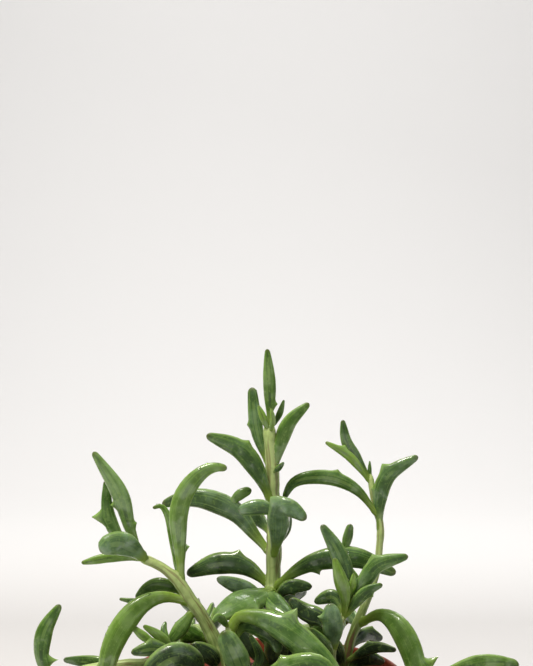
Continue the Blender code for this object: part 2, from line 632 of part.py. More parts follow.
def main():
    for old in list(bpy.data.objects):
        bpy.data.objects.remove(old)
    plant = new_collection("string_of_dolphins")
    drains = new_collection("drain_cutters")
    stem_holes = new_collection("stem_hole_cutters")
    for cutters in (drains, stem_holes):
        cutters.hide_render = True
    shoots = {
        "centre_shoot": (CENTRE_STEM, CENTRE_LEAVES, "4A7A34"),
        "left_shoot": (LEFT_STEM, LEFT_LEAVES, "5A8A3C"),
        "right_shoot": (RIGHT_STEM, RIGHT_LEAVES, "4E8038"),
        "young_shoot": (YOUNG_STEM, YOUNG_LEAVES, "56883E"),
        "front_shoot": (FRONT_STEM, FRONT_LEAVES, "568445"),
        "front_left_shoot": (FRONT_LEFT_STEM, FRONT_LEFT_LEAVES, "46703A"),
        "left_trailer": (LEFT_TRAILER_STEM, LEFT_TRAILER_LEAVES, "4C7C38"),
        "right_trailer": (RIGHT_TRAILER_STEM, RIGHT_TRAILER_LEAVES, "4C7C38"),
    }
    trailers = {
        "back_left_trailer": (BACK_LEFT_STEM, "446E34"),
        "back_right_trailer": (BACK_RIGHT_STEM, "446E34"),
    }
    for name, (stem, leaves, colour) in shoots.items():
        dress(leafy_stem(name, stem, leaves, plant), colour, 0.35)
    for name, (stem, colour) in trailers.items():
        dress(leafy_stem(name, stem, trailing_leaves(stem), plant, as_given), colour, 0.35)
    stems = [stem for stem, *_ in (*shoots.values(), *trailers.values())]
    dress(build_pot(plant, drains), "A14E31", 0.55)
    dress(build_soil(stems, plant, stem_holes), "2E231B", 0.95)


main()
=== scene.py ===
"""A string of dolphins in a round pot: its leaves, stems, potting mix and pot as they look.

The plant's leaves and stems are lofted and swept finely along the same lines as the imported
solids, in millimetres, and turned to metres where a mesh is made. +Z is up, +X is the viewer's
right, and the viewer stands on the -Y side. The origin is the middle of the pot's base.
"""

import bisect
import logging
import math
from dataclasses import dataclass, field
from enum import Enum
from functools import partial
from typing import Any, Iterable, Sequence

import bmesh
import bpy
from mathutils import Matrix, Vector, noise


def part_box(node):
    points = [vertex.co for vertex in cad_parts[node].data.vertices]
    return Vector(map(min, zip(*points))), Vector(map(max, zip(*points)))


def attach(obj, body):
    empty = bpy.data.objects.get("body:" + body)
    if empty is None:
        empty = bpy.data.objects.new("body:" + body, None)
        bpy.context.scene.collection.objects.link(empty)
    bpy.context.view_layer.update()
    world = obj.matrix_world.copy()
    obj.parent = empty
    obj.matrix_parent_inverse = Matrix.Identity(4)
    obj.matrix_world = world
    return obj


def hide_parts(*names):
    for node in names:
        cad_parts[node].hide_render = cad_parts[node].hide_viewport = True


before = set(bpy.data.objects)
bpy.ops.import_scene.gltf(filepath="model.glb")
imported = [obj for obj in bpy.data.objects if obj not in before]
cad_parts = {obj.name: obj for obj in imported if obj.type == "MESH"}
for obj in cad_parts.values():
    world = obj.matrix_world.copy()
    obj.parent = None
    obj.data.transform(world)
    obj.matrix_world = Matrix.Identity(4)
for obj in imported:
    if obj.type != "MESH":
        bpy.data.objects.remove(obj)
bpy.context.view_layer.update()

log = logging.getLogger("string_of_dolphins")

MM = 0.001
BODY = "root"

# Where the viewer's eye is, so that a piece keeps its place in the front view at any depth
EYE = Vector((0.5, -577.0, 253.0))

FRONT = (0.0, -1.0, 0.0)
UP = (0.0, -0.25, 1.0)
TILTED = (0.0, -0.6, 1.0)
SKY = Vector((0.0, 0.0, 1.0))


class Margin(Enum):
    """The two edges of a leaf, as the viewer sees a leaf that stands upright."""

    LEFT = 1
    RIGHT = -1


LEFT, RIGHT = Margin.LEFT, Margin.RIGHT


class Points(Enum):
    """How a stem's points are given: as the front view shows them, or as plain coordinates."""

    SEEN = "seen"
    PLAIN = "plain"


class Easing(Enum):
    """How a step in a finish goes from one value to the other."""

    EVEN = "LINEAR"
    SMOOTH = "SMOOTHSTEP"


class Joining(Enum):
    """How meshes are combined with a piece, and which solver does it."""

    GROWN = ("UNION", "MANIFOLD")
    CUT = ("DIFFERENCE", "EXACT")


@dataclass(frozen=True)
class Fin:
    """A pointed fin on one margin: place along the leaf, margin, length and sweep to the tip."""

    at: float
    margin: Margin
    length: float
    sweep: float = 0.4


@dataclass(frozen=True)
class Leaf:
    """A leaf from its foot on the stem to its tip, each point as across, depth, height.

    tone goes from about -1, old and dark, to about 1, young and yellow-green; the darkest tones, on the low
    leaves and those at the back, are also painted shade from the leaves above. bloom from 0 to 1 is how much
    pale wax lies on it.
    """

    path: tuple
    width: float
    fins: tuple[Fin, ...] = ()
    facing: tuple = FRONT
    blunt: bool = False
    tone: float = 0.0
    bloom: float = 0.25


@dataclass(frozen=True)
class StemRun:
    """A stem: where it stands in the mix, its thickness there and at its tip, and its way up."""

    foot: tuple
    thick: float
    thin: float
    path: tuple


# Each leafy stem in view: its line and its leaves, by the name of its imported solid
# A leaf's tone is its age and, on the low leaves and those at the back, painted shade as well
SHOOTS = {
    "centre_shoot": (StemRun((3, 2), 6.2, 4.0, ((3, 2, 96), (3, 2, 110), (3, 2, 125), (3.3, 2, 135),
        (3, 2, 150), (2.6, 1, 162), (1.8, 0, 171), (1.5, 0, 179))), (
        Leaf(((1.6, 0, 177), (1.7, -1, 191), (0.8, -2, 205.8)), 4.6, (Fin(0.3, RIGHT, 1.2),), tone=0.25),
        Leaf(((2.2, 1, 177), (5, 3, 182), (6.8, 4, 187.5)), 2.3, tone=0.3),
        Leaf(((1.4, 1, 163), (-2.8, 2, 176), (-4.7, 2, 192)), 4.9, (Fin(0.55, LEFT, 0.8),), blunt=True,
             bloom=0.5),
        Leaf(((1.4, -1, 176), (-0.6, -3, 181), (-2.4, -4, 185.5)), 2.7, tone=1.2),
        Leaf(((1.8, -1, 175), (2.8, -4, 180), (2.2, -5, 184.5)), 2.1, tone=1.3),
        Leaf(((2.6, 0, 160), (6, -1, 173), (9.2, -2, 180), (15.8, -2, 186.3)), 5.6, tone=0.25),
        Leaf(((2.4, 0, 150), (-3, -2, 162.2), (-9.5, -3, 170), (-21, -4, 174.8)), 7.4,
             (Fin(0.62, RIGHT, 1.2),), tone=-0.05),
        Leaf(((2.6, -1, 161), (5, -2, 163), (6.8, -3, 165)), 2.0, tone=-0.3),
        Leaf(((2, 1, 157), (-3, 9, 163), (-11, 16, 168)), 5.0, (Fin(0.6, RIGHT, 2),), tone=-0.3),
        Leaf(((2.6, 3, 131), (-4, 5, 139), (-11, 6, 147.2), (-22, 7, 151.8), (-31, 8, 151.4),
             (-37, 8, 149.6)), 8.0, tone=-0.35, bloom=0.5),
        Leaf(((-13, 6, 149), (-9.3, 5, 153), (-4.9, 5, 155.2)), 4.0, blunt=True, tone=0.5, bloom=0.5),
        Leaf(((3.2, 0, 131), (4.8, -7, 140), (5.2, -12, 146.6), (8.6, -15, 148.6), (14.9, -17, 144.3)), 8.2,
             (Fin(0.7, LEFT, 2.5, 0.1),), tone=-0.2, bloom=0.8),
        Leaf(((6, -10, 146), (-1.5, -11, 148.7), (-9.6, -11, 147.4)), 5.8, blunt=True, tone=-0.1,
             bloom=0.7),
        Leaf(((3, 3, 138), (-3, 13, 145), (-11, 24, 149)), 5.9, (Fin(0.6, RIGHT, 2.5),), tone=-0.4),
        Leaf(((3.2, 3, 133), (7, 13, 141), (8, 24, 149)), 5.0, (Fin(0.6, LEFT, 1.8),), tone=-0.4),
        Leaf(((2.6, 2, 119.5), (-7, 3, 127), (-17, 4, 128.2), (-28.2, 5, 124.2)), 8.4,
             (Fin(0.45, RIGHT, 1.6, 0),), tone=-0.45),
        Leaf(((3.6, 0, 119.5), (12, -3, 126), (21, -4, 129.6), (33, -5, 130.3), (47.2, -6, 124.5)), 8.2,
             (Fin(0.36, RIGHT, 1.8),), tone=-0.1),
        Leaf(((28, -5, 131), (29.6, -5, 137), (30.8, -6, 142.6)), 3.6, blunt=True, tone=0.2),
        Leaf(((2.5, 0, 113.5), (-7, -3, 118.8), (-17.4, -5, 122.8)), 6.2, tone=-0.5, bloom=0.8),
        Leaf(((3.2, 0, 115), (9, -4, 119.6), (17, -5, 119.8)), 5.6, (Fin(0.55, RIGHT, 1.2),), tone=-0.5),
        Leaf(((3, 1, 118.5), (-3, -9, 116), (-10, -17, 113), (-18.6, -23, 108.2)), 11.6,
             (Fin(0.55, LEFT, 1.4),), facing=TILTED, tone=0.3, bloom=0.45),
        Leaf(((2.8, 0.5, 117.5), (1.4, -6, 116.6), (4, -12, 113), (9.4, -18, 109)), 8.4, facing=TILTED,
             tone=0.1),
        Leaf(((3.4, 4, 112), (9, 14, 116), (15, 24, 118)), 6.4, (Fin(0.6, LEFT, 2.5),), tone=-0.3),
        Leaf(((2.4, 4, 108), (-5, 14, 113), (-13, 22, 115)), 6.4, (Fin(0.6, RIGHT, 2.5),), tone=-0.3),
        Leaf(((3, 4, 102), (2, 14, 108), (1, 24, 112)), 5.4, (Fin(0.6, LEFT, 2),), facing=UP, tone=-0.3),
        Leaf(((3, 0, 89), (4.4, -8, 96), (2.4, -12, 103.5)), 8.4, tone=-0.8),
        Leaf(((3.6, 0, 88), (9, -6, 94), (13.5, -9, 101)), 8.0, tone=-0.7),
        Leaf(((2.2, -1, 89), (-3.4, -8, 95.5), (-9.8, -13, 105.4)), 5.4, tone=-0.2, bloom=0.6),
        Leaf(((2.4, 2, 96), (-3, 6, 104.5), (-9.5, 8, 108)), 4.6, tone=-0.9),
        Leaf(((3.6, 2, 91), (12, 6, 98), (19, 8, 99.5)), 8.0, tone=-0.8),
    )),
    "left_shoot": (StemRun((-15, -8), 5.8, 3.0, ((-16, -8, 90), (-18, -8, 99), (-22, -9, 107.5),
        (-27, -10, 115), (-31, -11, 121.3), (-36, -12, 126), (-41, -13, 128.8), (-45.5, -14, 130.3))), (
        Leaf(((-44.4, -14, 130), (-48.6, -15, 141), (-52.4, -16, 154), (-61.6, -17, 168.8)), 6.0,
             (Fin(0.3, RIGHT, 0.9), Fin(0.5, LEFT, 1.6)), tone=0.35, bloom=0.4),
        Leaf(((-43, -12.5, 129.4), (-51.5, -10, 136), (-56.3, -9, 146), (-57.2, -9, 158.5)), 4.8,
             (Fin(0.62, LEFT, 3.6),), tone=0.1),
        Leaf(((-43, -14, 129.6), (-47.8, -18, 133.6), (-52.4, -21, 135.6), (-56.4, -23, 134.8),
             (-59.4, -24, 132.4)), 8.8, blunt=True, bloom=0.9),
        Leaf(((-43, -12.5, 129.6), (-54, -14, 130.6), (-66.2, -15, 128.4)), 3.8, tone=0.5),
        Leaf(((-30, -11, 120), (-31, -12, 137.9), (-31.2, -13, 145), (-29.9, -14, 151.4),
             (-26.7, -15, 157.2), (-22.1, -15, 161.6), (-17.8, -15, 163.2), (-13.6, -15, 162.8)), 6.9,
             tone=0.55, bloom=0.4),
        Leaf(((-26, -10, 113.5), (-36, -13, 116), (-44.4, -15, 113.2), (-51, -17, 106), (-55.4, -18, 97.5),
             (-57.8, -18, 88), (-58.8, -18, 80)), 8.2, (Fin(0.84, RIGHT, 1.6),), tone=0.5),
        Leaf(((-49, -16, 106), (-44.5, -17, 102), (-39.5, -18, 98.5)), 3.4, tone=0.6),
        Leaf(((-28, -9, 117), (-36.5, -8, 120.4), (-42, -7, 119), (-46.6, -6, 115.4)), 5.6, tone=0.25),
        Leaf(((-25.5, -9.5, 112), (-28.2, -11, 107.6), (-31.2, -12, 103.6), (-35, -14, 99)), 5.4, tone=0.3),
        Leaf(((-31, -10, 121), (-31, 0, 132), (-30.5, 8, 143)), 5.0, (Fin(0.6, RIGHT, 1.4),), tone=-0.2),
        Leaf(((-19, -7, 102), (-24, 3, 110), (-31, 12, 115)), 5.4, (Fin(0.6, RIGHT, 2),), tone=-0.3),
        Leaf(((-16, -8, 88), (-20, -11, 94.5), (-27, -13, 98.5)), 7.0, tone=-0.8),
        Leaf(((-29, -10, 118), (-31.8, -9, 130), (-33.3, -9, 139), (-34.8, -9, 145.2), (-37.2, -9, 149),
             (-40.4, -9, 148.4)), 3.4, tone=0.4),
        Leaf(((-24.5, -8.5, 110.6), (-31, -7, 114.6), (-38, -5, 115.6), (-45, -4, 114.2),
             (-52.6, -3, 115.2)), 3.2, tone=0.3),
    )),
    "right_shoot": (StemRun((28, 10), 3.8, 2.0, ((28.5, 10, 90), (31, 10, 100), (34, 10, 108),
        (38, 10, 118), (40.5, 11, 127), (41.3, 11, 135), (41.5, 11, 142.5), (39.5, 11, 149),
        (38.5, 11, 155), (37.8, 11, 161))), (
        Leaf(((38, 11, 157.5), (37.6, 11, 161.5), (37.6, 10, 165.5)), 1.5, tone=0.3),
        Leaf(((41.4, 11, 139), (41.2, 10, 151), (44.4, 9, 160.4), (54.9, 8, 167.2)), 6.2,
             (Fin(0.45, LEFT, 0.9), Fin(0.66, LEFT, 1.8)), bloom=0.4),
        Leaf(((40.6, 10.5, 145.5), (33.5, 8, 154.5), (25, 7, 159), (16, 6, 159.5), (10, 6, 157.3),
             (6.8, 6, 152)), 5.6, (Fin(0.5, RIGHT, 1, 0),), tone=0.1),
        Leaf(((38.4, 11, 157.5), (32.6, 10, 166.8), (29.1, 9, 172.8), (27.8, 8, 180.3)), 4.4, tone=-0.15),
        Leaf(((38.2, 11, 157), (30.6, 8, 166.8), (21.7, 7, 172.3)), 3.4, (Fin(0.72, RIGHT, 1, 0),),
             tone=1.0),
        Leaf(((34, 9.5, 106), (41, 4, 109.3), (47, -1, 106.4), (51.8, -5, 99), (55, -7, 89),
             (56.6, -8, 78)), 8.6, (Fin(0.77, LEFT, 5.2, -0.6),), tone=0.35),
        Leaf(((30, 11, 97), (36, 17, 102), (42.5, 23, 100.5)), 5.6, (Fin(0.6, LEFT, 0.8),), tone=-0.8),
        Leaf(((29, 9, 92), (39, 3, 97.3), (47.5, -2, 96.5)), 4.6, (Fin(0.55, LEFT, 0.8),), tone=-0.7),
        Leaf(((34, 11, 105), (31, 20, 109), (28, 28, 111)), 5.6, (Fin(0.6, LEFT, 1.4),), tone=-0.3),
        Leaf(((28.6, 9.5, 89.5), (25.4, 5, 96), (22.6, 3, 103)), 7.0, tone=-0.8),
        Leaf(((29, 10, 89), (36, 8, 93.4), (43.4, 7, 92)), 6.0, tone=-0.8),
    )),
    "young_shoot": (StemRun((24, -14), 3.2, 1.6, ((24.2, -15, 86), (24.5, -16, 97), (26.8, -16, 104.5),
        (29.4, -16, 112), (31, -16, 118))), (
        Leaf(((28.8, -16, 109.5), (29.8, -17, 121), (26.4, -17.5, 132), (20.4, -18, 142.4)), 6.2,
             (Fin(0.5, LEFT, 0.8),), tone=-0.1, bloom=0.5),
        Leaf(((28.6, -16.5, 109), (28.8, -20, 116.5), (26.9, -22, 123.5), (25, -22.5, 130.2)), 5.0,
             tone=0.8),
        Leaf(((30.6, -16, 115.6), (31.6, -19, 120.5), (32, -20, 124.6)), 2.8, tone=1.2),
        Leaf(((29.6, -16, 111), (33.2, -17, 116.6), (36.6, -18, 122.8), (41, -18, 128), (51.6, -19, 130.9)),
             6.0, (Fin(0.64, LEFT, 1.4),), tone=0.1, bloom=0.4),
        Leaf(((28.8, -16.5, 108.5), (36, -20, 117.4), (42.4, -21, 120.6)), 4.4, (Fin(0.7, RIGHT, 1),),
             tone=-0.1),
        Leaf(((30, -15.5, 113.5), (33, -11, 120), (31, -10, 126.5)), 3.6, tone=0.4),
        Leaf(((24.9, -16, 97), (24.6, -22, 104), (23.6, -24, 113.6)), 7.4, (Fin(0.74, LEFT, 1.6, 0.7),),
             blunt=True, tone=-0.1, bloom=0.9),
        Leaf(((25.6, -15, 101), (20.5, -12, 107.8), (14.4, -10, 110.6), (8.8, -9, 115.3)), 7.0,
             (Fin(0.5, LEFT, 1.2),), tone=-0.7),
        Leaf(((28.4, -15, 109.5), (24.6, -12, 116), (17.8, -10, 114)), 5.4, tone=-0.5),
        Leaf(((24.8, -16, 92), (21.4, -22, 98.5), (16.4, -25, 104.4)), 4.6, tone=-0.1),
        Leaf(((24.3, -14, 89), (18.6, -11, 95), (15, -10, 101)), 7.4, tone=-0.8),
    )),
    "front_shoot": (StemRun((-9, -24), 3.8, 2.8, ((-9, -24, 80), (-9.5, -25, 90), (-11, -26, 98),
        (-13.5, -27.5, 106))), (
        Leaf(((-12.8, -27, 103), (-9.4, -28, 108.6), (-1, -30, 108), (8, -33, 103.5), (16, -35, 97),
             (24, -37, 89), (27, -37, 82)), 9.8, (Fin(0.45, LEFT, 4.2, 0.2), Fin(0.62, RIGHT, 1.4)),
             tone=0.2, bloom=0.4),
        Leaf(((-11.6, -26, 100), (-8, -26, 105), (-2, -27, 104.6), (3.4, -28, 100.5), (5, -29, 95)), 6.6,
             tone=-0.1),
        Leaf(((-9.6, -25.5, 84), (-9.5, -33, 91), (-15, -38, 103.5)), 8.8, blunt=True, tone=0.15,
             bloom=0.6),
        Leaf(((-9.3, -24.5, 84), (-2, -22, 93), (-5.5, -20, 102.5)), 3.2, tone=-0.4),
        Leaf(((-9.2, -25, 79), (3, -37, 86), (12, -42, 90.5), (20, -44, 90.5), (27, -43, 82)), 9.0,
             (Fin(0.55, LEFT, 1.5),), tone=0.1),
        Leaf(((-9.2, -24.5, 79), (-17, -36, 84), (-24, -45, 82)), 6.3, (Fin(0.6, LEFT, 2.5),)),
        Leaf(((-9, -24.5, 78), (-4, -40, 80), (2, -52, 76)), 6.3, (Fin(0.6, RIGHT, 2.5),), facing=UP,
             tone=-0.1),
        Leaf(((-13.2, -27.3, 104.5), (-16.5, -31, 108.5), (-19, -34, 107)), 3.1, tone=0.3),
    )),
    "front_left_shoot": (StemRun((-22, -18), 3.4, 2.2, ((-23, -18, 80), (-27, -19, 88), (-31, -20, 93.5),
        (-34.5, -20, 98))), (
        Leaf(((-24, -19, 85.5), (-26, -27, 91.5), (-32, -32, 93.8), (-39, -34, 90), (-44.5, -35, 82)), 11.0,
             (Fin(0.6, LEFT, 2.5),), tone=-0.7),
        Leaf(((-31.5, -20, 94), (-37.5, -22, 101), (-44, -23, 105.5)), 3.8, (Fin(0.5, LEFT, 4, -0.4),),
             tone=0.7),
        Leaf(((-31, -20, 93), (-39, -23, 97), (-48.5, -25, 95.5)), 5.6, (Fin(0.6, RIGHT, 1.4),),
             tone=-0.35),
        Leaf(((-25.5, -18.5, 85), (-36, -22, 86), (-47, -25, 82)), 5.9, (Fin(0.6, LEFT, 2.4),), tone=-0.4),
        Leaf(((-34, -20, 97), (-36.5, -18, 103), (-36, -16, 107)), 2.7, tone=0.2),
    )),
    "left_trailer": (StemRun((-31, -2), 3.6, 2.4, ((-33, -3, 87), (-38, -5, 91.5), (-46, -6, 91.6),
        (-57, -7, 90.8), (-68, -8, 88.5), (-76, -9, 84), (-80, -9, 76))), (
        Leaf(((-76, -9, 83.5), (-80.6, -10, 92), (-79.8, -10, 103), (-74, -10, 113.2)), 6.1,
             (Fin(0.3, RIGHT, 3.8, 0),), tone=0.1),
        Leaf(((-50, -6.4, 91.4), (-60, -3, 92), (-73, 1, 92.8)), 4.8, (Fin(0.6, LEFT, 1.2),), tone=-0.1),
        Leaf(((-59, -7.2, 90.5), (-64, -15, 85), (-66, -22, 74)), 5.8, (Fin(0.6, RIGHT, 2.6),)),
        Leaf(((-64, -7.6, 89.5), (-70, 2, 85), (-73, 10, 76)), 5.8, (Fin(0.6, LEFT, 2.6),), tone=-0.2),
        Leaf(((-71, -8.4, 87), (-73, -17, 80), (-77, -24, 73)), 5.8, (Fin(0.6, LEFT, 2.6),), tone=0.05),
        Leaf(((-79.6, -9, 78), (-84, -9, 68), (-81.5, -9, 57)), 5.6, (Fin(0.55, LEFT, 2.6),), tone=0.2),
        Leaf(((-79.4, -9, 78.5), (-76, -2, 72), (-72, 5, 66)), 5.0, (Fin(0.55, RIGHT, 2.4),), tone=-0.1),
    )),
    "right_trailer": (StemRun((33, -22), 3.6, 2.4, ((34, -22.5, 80), (39, -24, 85), (47, -25, 86),
        (56, -24, 86.4), (63, -22, 87), (68, -20, 86), (71, -18, 80))), (
        Leaf(((62.5, -22, 86.8), (71, -18, 90), (81, -16, 91.6), (92, -14, 90.6)), 6.8,
             (Fin(0.5, RIGHT, 1.6),), blunt=True, tone=0.25),
        Leaf(((54, -24, 86.4), (59, -33, 83), (61, -40, 74)), 5.9, (Fin(0.6, LEFT, 2.6),)),
        Leaf(((60, -23, 86.8), (68, -29, 82), (73, -33, 73)), 5.8, (Fin(0.6, LEFT, 2.6),), tone=0.1),
        Leaf(((49, -25, 86), (50, -34, 84), (47, -42, 78)), 5.6, (Fin(0.6, RIGHT, 2.4),), tone=-0.1),
        Leaf(((70, -19, 82.5), (77, -18, 76), (79, -17, 66)), 5.6, (Fin(0.6, LEFT, 2.4),), tone=0.15),
        Leaf(((70.4, -18.6, 81.5), (68, -13, 73), (69, -8, 64)), 5.2, (Fin(0.6, RIGHT, 2.4),), tone=-0.05),
    )),
}
# Stems that trail over the back of the rim, with leaves set round them by a rule. Their points
# are plain coordinates, because the front view doesn't show them.
BACK_TRAILERS = {
    "back_left_trailer": StemRun((-16, 20), 3.8, 2.2, ((-17, 24, 89), (-21, 34, 92.5), (-27, 46, 92.5),
        (-31.5, 54, 86), (-34, 58, 74), (-34, 59, 60), (-32, 59, 48))),
    "back_right_trailer": StemRun((12, 24), 3.8, 2.2, ((12.5, 28, 89), (14, 38, 92.5), (17, 50, 91.5),
        (19, 57, 83), (21, 60, 70), (24, 60, 57))),
}


def seen(point: Sequence[float]) -> Vector:
    """Moves a front-view point back to its depth along the line of sight.

    Args:
        point: across, depth and height in millimetres.

    Returns:
        The point in plain coordinates, in millimetres.
    """
    across, depth, height = point
    reach = (depth - EYE.y) / -EYE.y
    return Vector((EYE.x + (across - EYE.x) * reach, depth, EYE.z + (height - EYE.z) * reach))


def placed(points: Iterable[Sequence[float]], how: Points) -> list[Vector]:
    """Turns given points to plain coordinates.

    Args:
        points: the points as they are given.
        how: whether they are given as seen from the front.

    Returns:
        The points in plain coordinates, in millimetres.
    """
    return [seen(point) if how is Points.SEEN else Vector(point) for point in points]


def linear(hex_colour: str) -> tuple[float, float, float, float]:
    """Turns an sRGB hex colour to the linear colour that a shader takes.

    Args:
        hex_colour: six hex digits.

    Returns:
        Red, green, blue and alpha.
    """
    channels = [int(hex_colour[i:i + 2], 16) / 255 for i in (0, 2, 4)]
    return (*[c / 12.92 if c <= 0.04045 else ((c + 0.055) / 1.055) ** 2.4 for c in channels], 1.0)


def add_node(tree: bpy.types.NodeTree, kind: str, values: dict | None = None) -> bpy.types.Node:
    """Adds a node with its settings and links.

    Args:
        tree: the tree it goes in.
        kind: the node's type name.
        values: its own properties by lower-case name, and by each input's name or number the value
            that it holds, or the output or node that it takes.

    Returns:
        The new node.
    """
    node = tree.nodes.new(kind)
    for key, value in (values or {}).items():
        source = value.outputs[0] if isinstance(value, bpy.types.Node) else value
        if isinstance(key, str) and key[0].islower():
            setattr(node, key, source)
        elif isinstance(source, bpy.types.NodeSocket):
            tree.links.new(source, node.inputs[key])
        else:
            node.inputs[key].default_value = source
    return node


@dataclass(frozen=True)
class Step:
    """How much of something there is, as a named value goes from low to high."""

    source: str
    low: float = 0.0
    high: float = 1.0
    at_low: float = 0.0
    at_high: float = 1.0
    easing: Easing = Easing.SMOOTH


@dataclass(frozen=True)
class Layer:
    """A colour over those before it, as far as all its steps together let it show."""

    label: str
    colour: str
    steps: tuple[Step, ...]


@dataclass(frozen=True)
class Pattern:
    """A noise: patches of a real size or, where follows names values, streaks along the surface.

    follows has each of those values with how many streaks there are along it.
    """

    size_mm: float = 1.0
    detail: float = 2.0
    roughness: float = 0.5
    follows: tuple[tuple[str, float], ...] = ()


HERE = "object"


@dataclass(frozen=True)
class Finish:
    """A finish: a named material with a Principled shader, whose colours lie in layers over a base.

    reads names the three values of an attribute, or those of the object's own coordinates under
    HERE. age adds up named values by their weights, from a first number. varying has the shader's
    inputs that change over the surface, even those that are the same all over, and relief each
    pattern's depth in millimetres and strength.
    """

    name: str
    base: str
    layers: tuple[Layer, ...] = ()
    patterns: dict[str, Pattern] = field(default_factory=dict)
    reads: dict[str, tuple[str, str, str]] = field(default_factory=dict)
    age: tuple[float, dict[str, float]] = (0.0, {})
    varying: dict[str, Step] = field(default_factory=dict)
    even: dict[str, Any] = field(default_factory=dict)
    relief: tuple[tuple[str, float, float], ...] = ()

    def material(self) -> bpy.types.Material:
        """Makes the material, or gives the one that was made before.

        Returns:
            The material.
        """
        made = bpy.data.materials.get(self.name)
        if made is None:
            made = bpy.data.materials.new(self.name)
            made.use_nodes = True
            self.paint(made.node_tree)
        return made

    def values(self, tree: bpy.types.NodeTree) -> dict[str, bpy.types.NodeSocket]:
        """Makes each value that the layers, the relief and the shader's inputs name.

        Args:
            tree: the material's tree.

        Returns:
            Each value's output by its name.
        """
        add, made = partial(add_node, tree), {}
        here = add("ShaderNodeTexCoord").outputs["Object"]
        for name, parts in self.reads.items():
            attribute = add("ShaderNodeAttribute", {"attribute_name": name}) if name != HERE else None
            vector = attribute.outputs["Vector"] if attribute else here
            made.update(zip(parts, add("ShaderNodeSeparateXYZ", {0: vector}).outputs))
        for name, pattern in self.patterns.items():
            vector, scale = here, 1 / (pattern.size_mm * MM)
            if pattern.follows:
                ways = enumerate(pattern.follows)
                vector, scale = add("ShaderNodeCombineXYZ", {
                    i: add("ShaderNodeMath", {"operation": "MULTIPLY", 0: made[value], 1: count})
                    for i, (value, count) in ways
                }), 1.0
            made[name] = add("ShaderNodeTexNoise", {
                "Vector": vector, "Scale": scale, "Detail": pattern.detail, "Roughness": pattern.roughness,
            }).outputs[0]
        # This value holds age and, on leaves, painted shade from their darkest tones
        made["age"], weights = self.age
        for name, weight in weights.items():
            values = {"operation": "MULTIPLY_ADD", 0: made[name], 1: weight, 2: made["age"]}
            made["age"] = add("ShaderNodeMath", values).outputs[0]
        return made

    @staticmethod
    def amount(tree: bpy.types.NodeTree, values: dict, steps: Sequence[Step]) -> bpy.types.NodeSocket:
        """Multiplies the results of steps.

        Args:
            tree: the material's tree.
            values: each value's output by its name.
            steps: the steps.

        Returns:
            The product.
        """
        product = None
        for step in steps:
            result = add_node(tree, "ShaderNodeMapRange", {
                "interpolation_type": step.easing.value, 0: values[step.source], 1: step.low,
                2: step.high, 3: step.at_low, 4: step.at_high,
            })
            if product is not None:
                result = add_node(tree, "ShaderNodeMath", {"operation": "MULTIPLY", 0: product, 1: result})
            product = result
        return product.outputs[0]

    def paint(self, tree: bpy.types.NodeTree) -> None:
        """Builds the finish's nodes before the material's own shader.

        Args:
            tree: the material's tree.
        """
        inputs = tree.nodes["Principled BSDF"].inputs
        inputs["Base Color"].default_value = linear(self.base)
        for name, value in self.even.items():
            inputs[name].default_value = value
        if not self.patterns:
            return
        values = self.values(tree)
        colour = linear(self.base)
        for layer in self.layers:
            colour = add_node(tree, "ShaderNodeMix", {
                "data_type": "RGBA", "label": layer.label, 0: self.amount(tree, values, layer.steps),
                6: colour, 7: linear(layer.colour),
            }).outputs[2]
        tree.links.new(colour, inputs["Base Color"])
        for name, step in self.varying.items():
            tree.links.new(self.amount(tree, values, (step,)), inputs[name])
        normal = {}
        for name, depth_mm, strength in self.relief:
            normal = {"Normal": add_node(tree, "ShaderNodeBump", {
                "Distance": depth_mm * MM, "Strength": strength, "Height": values[name], **normal,
            })}
        tree.links.new(normal["Normal"].outputs[0], inputs["Normal"])


DEEP_GREEN, YOUNG_GREEN, WATER_TISSUE = "0F2004", "7A9C2E", "90AE56"
FIRM_GREEN, TENDER_GREEN = "5F7A30", "AEC07A"
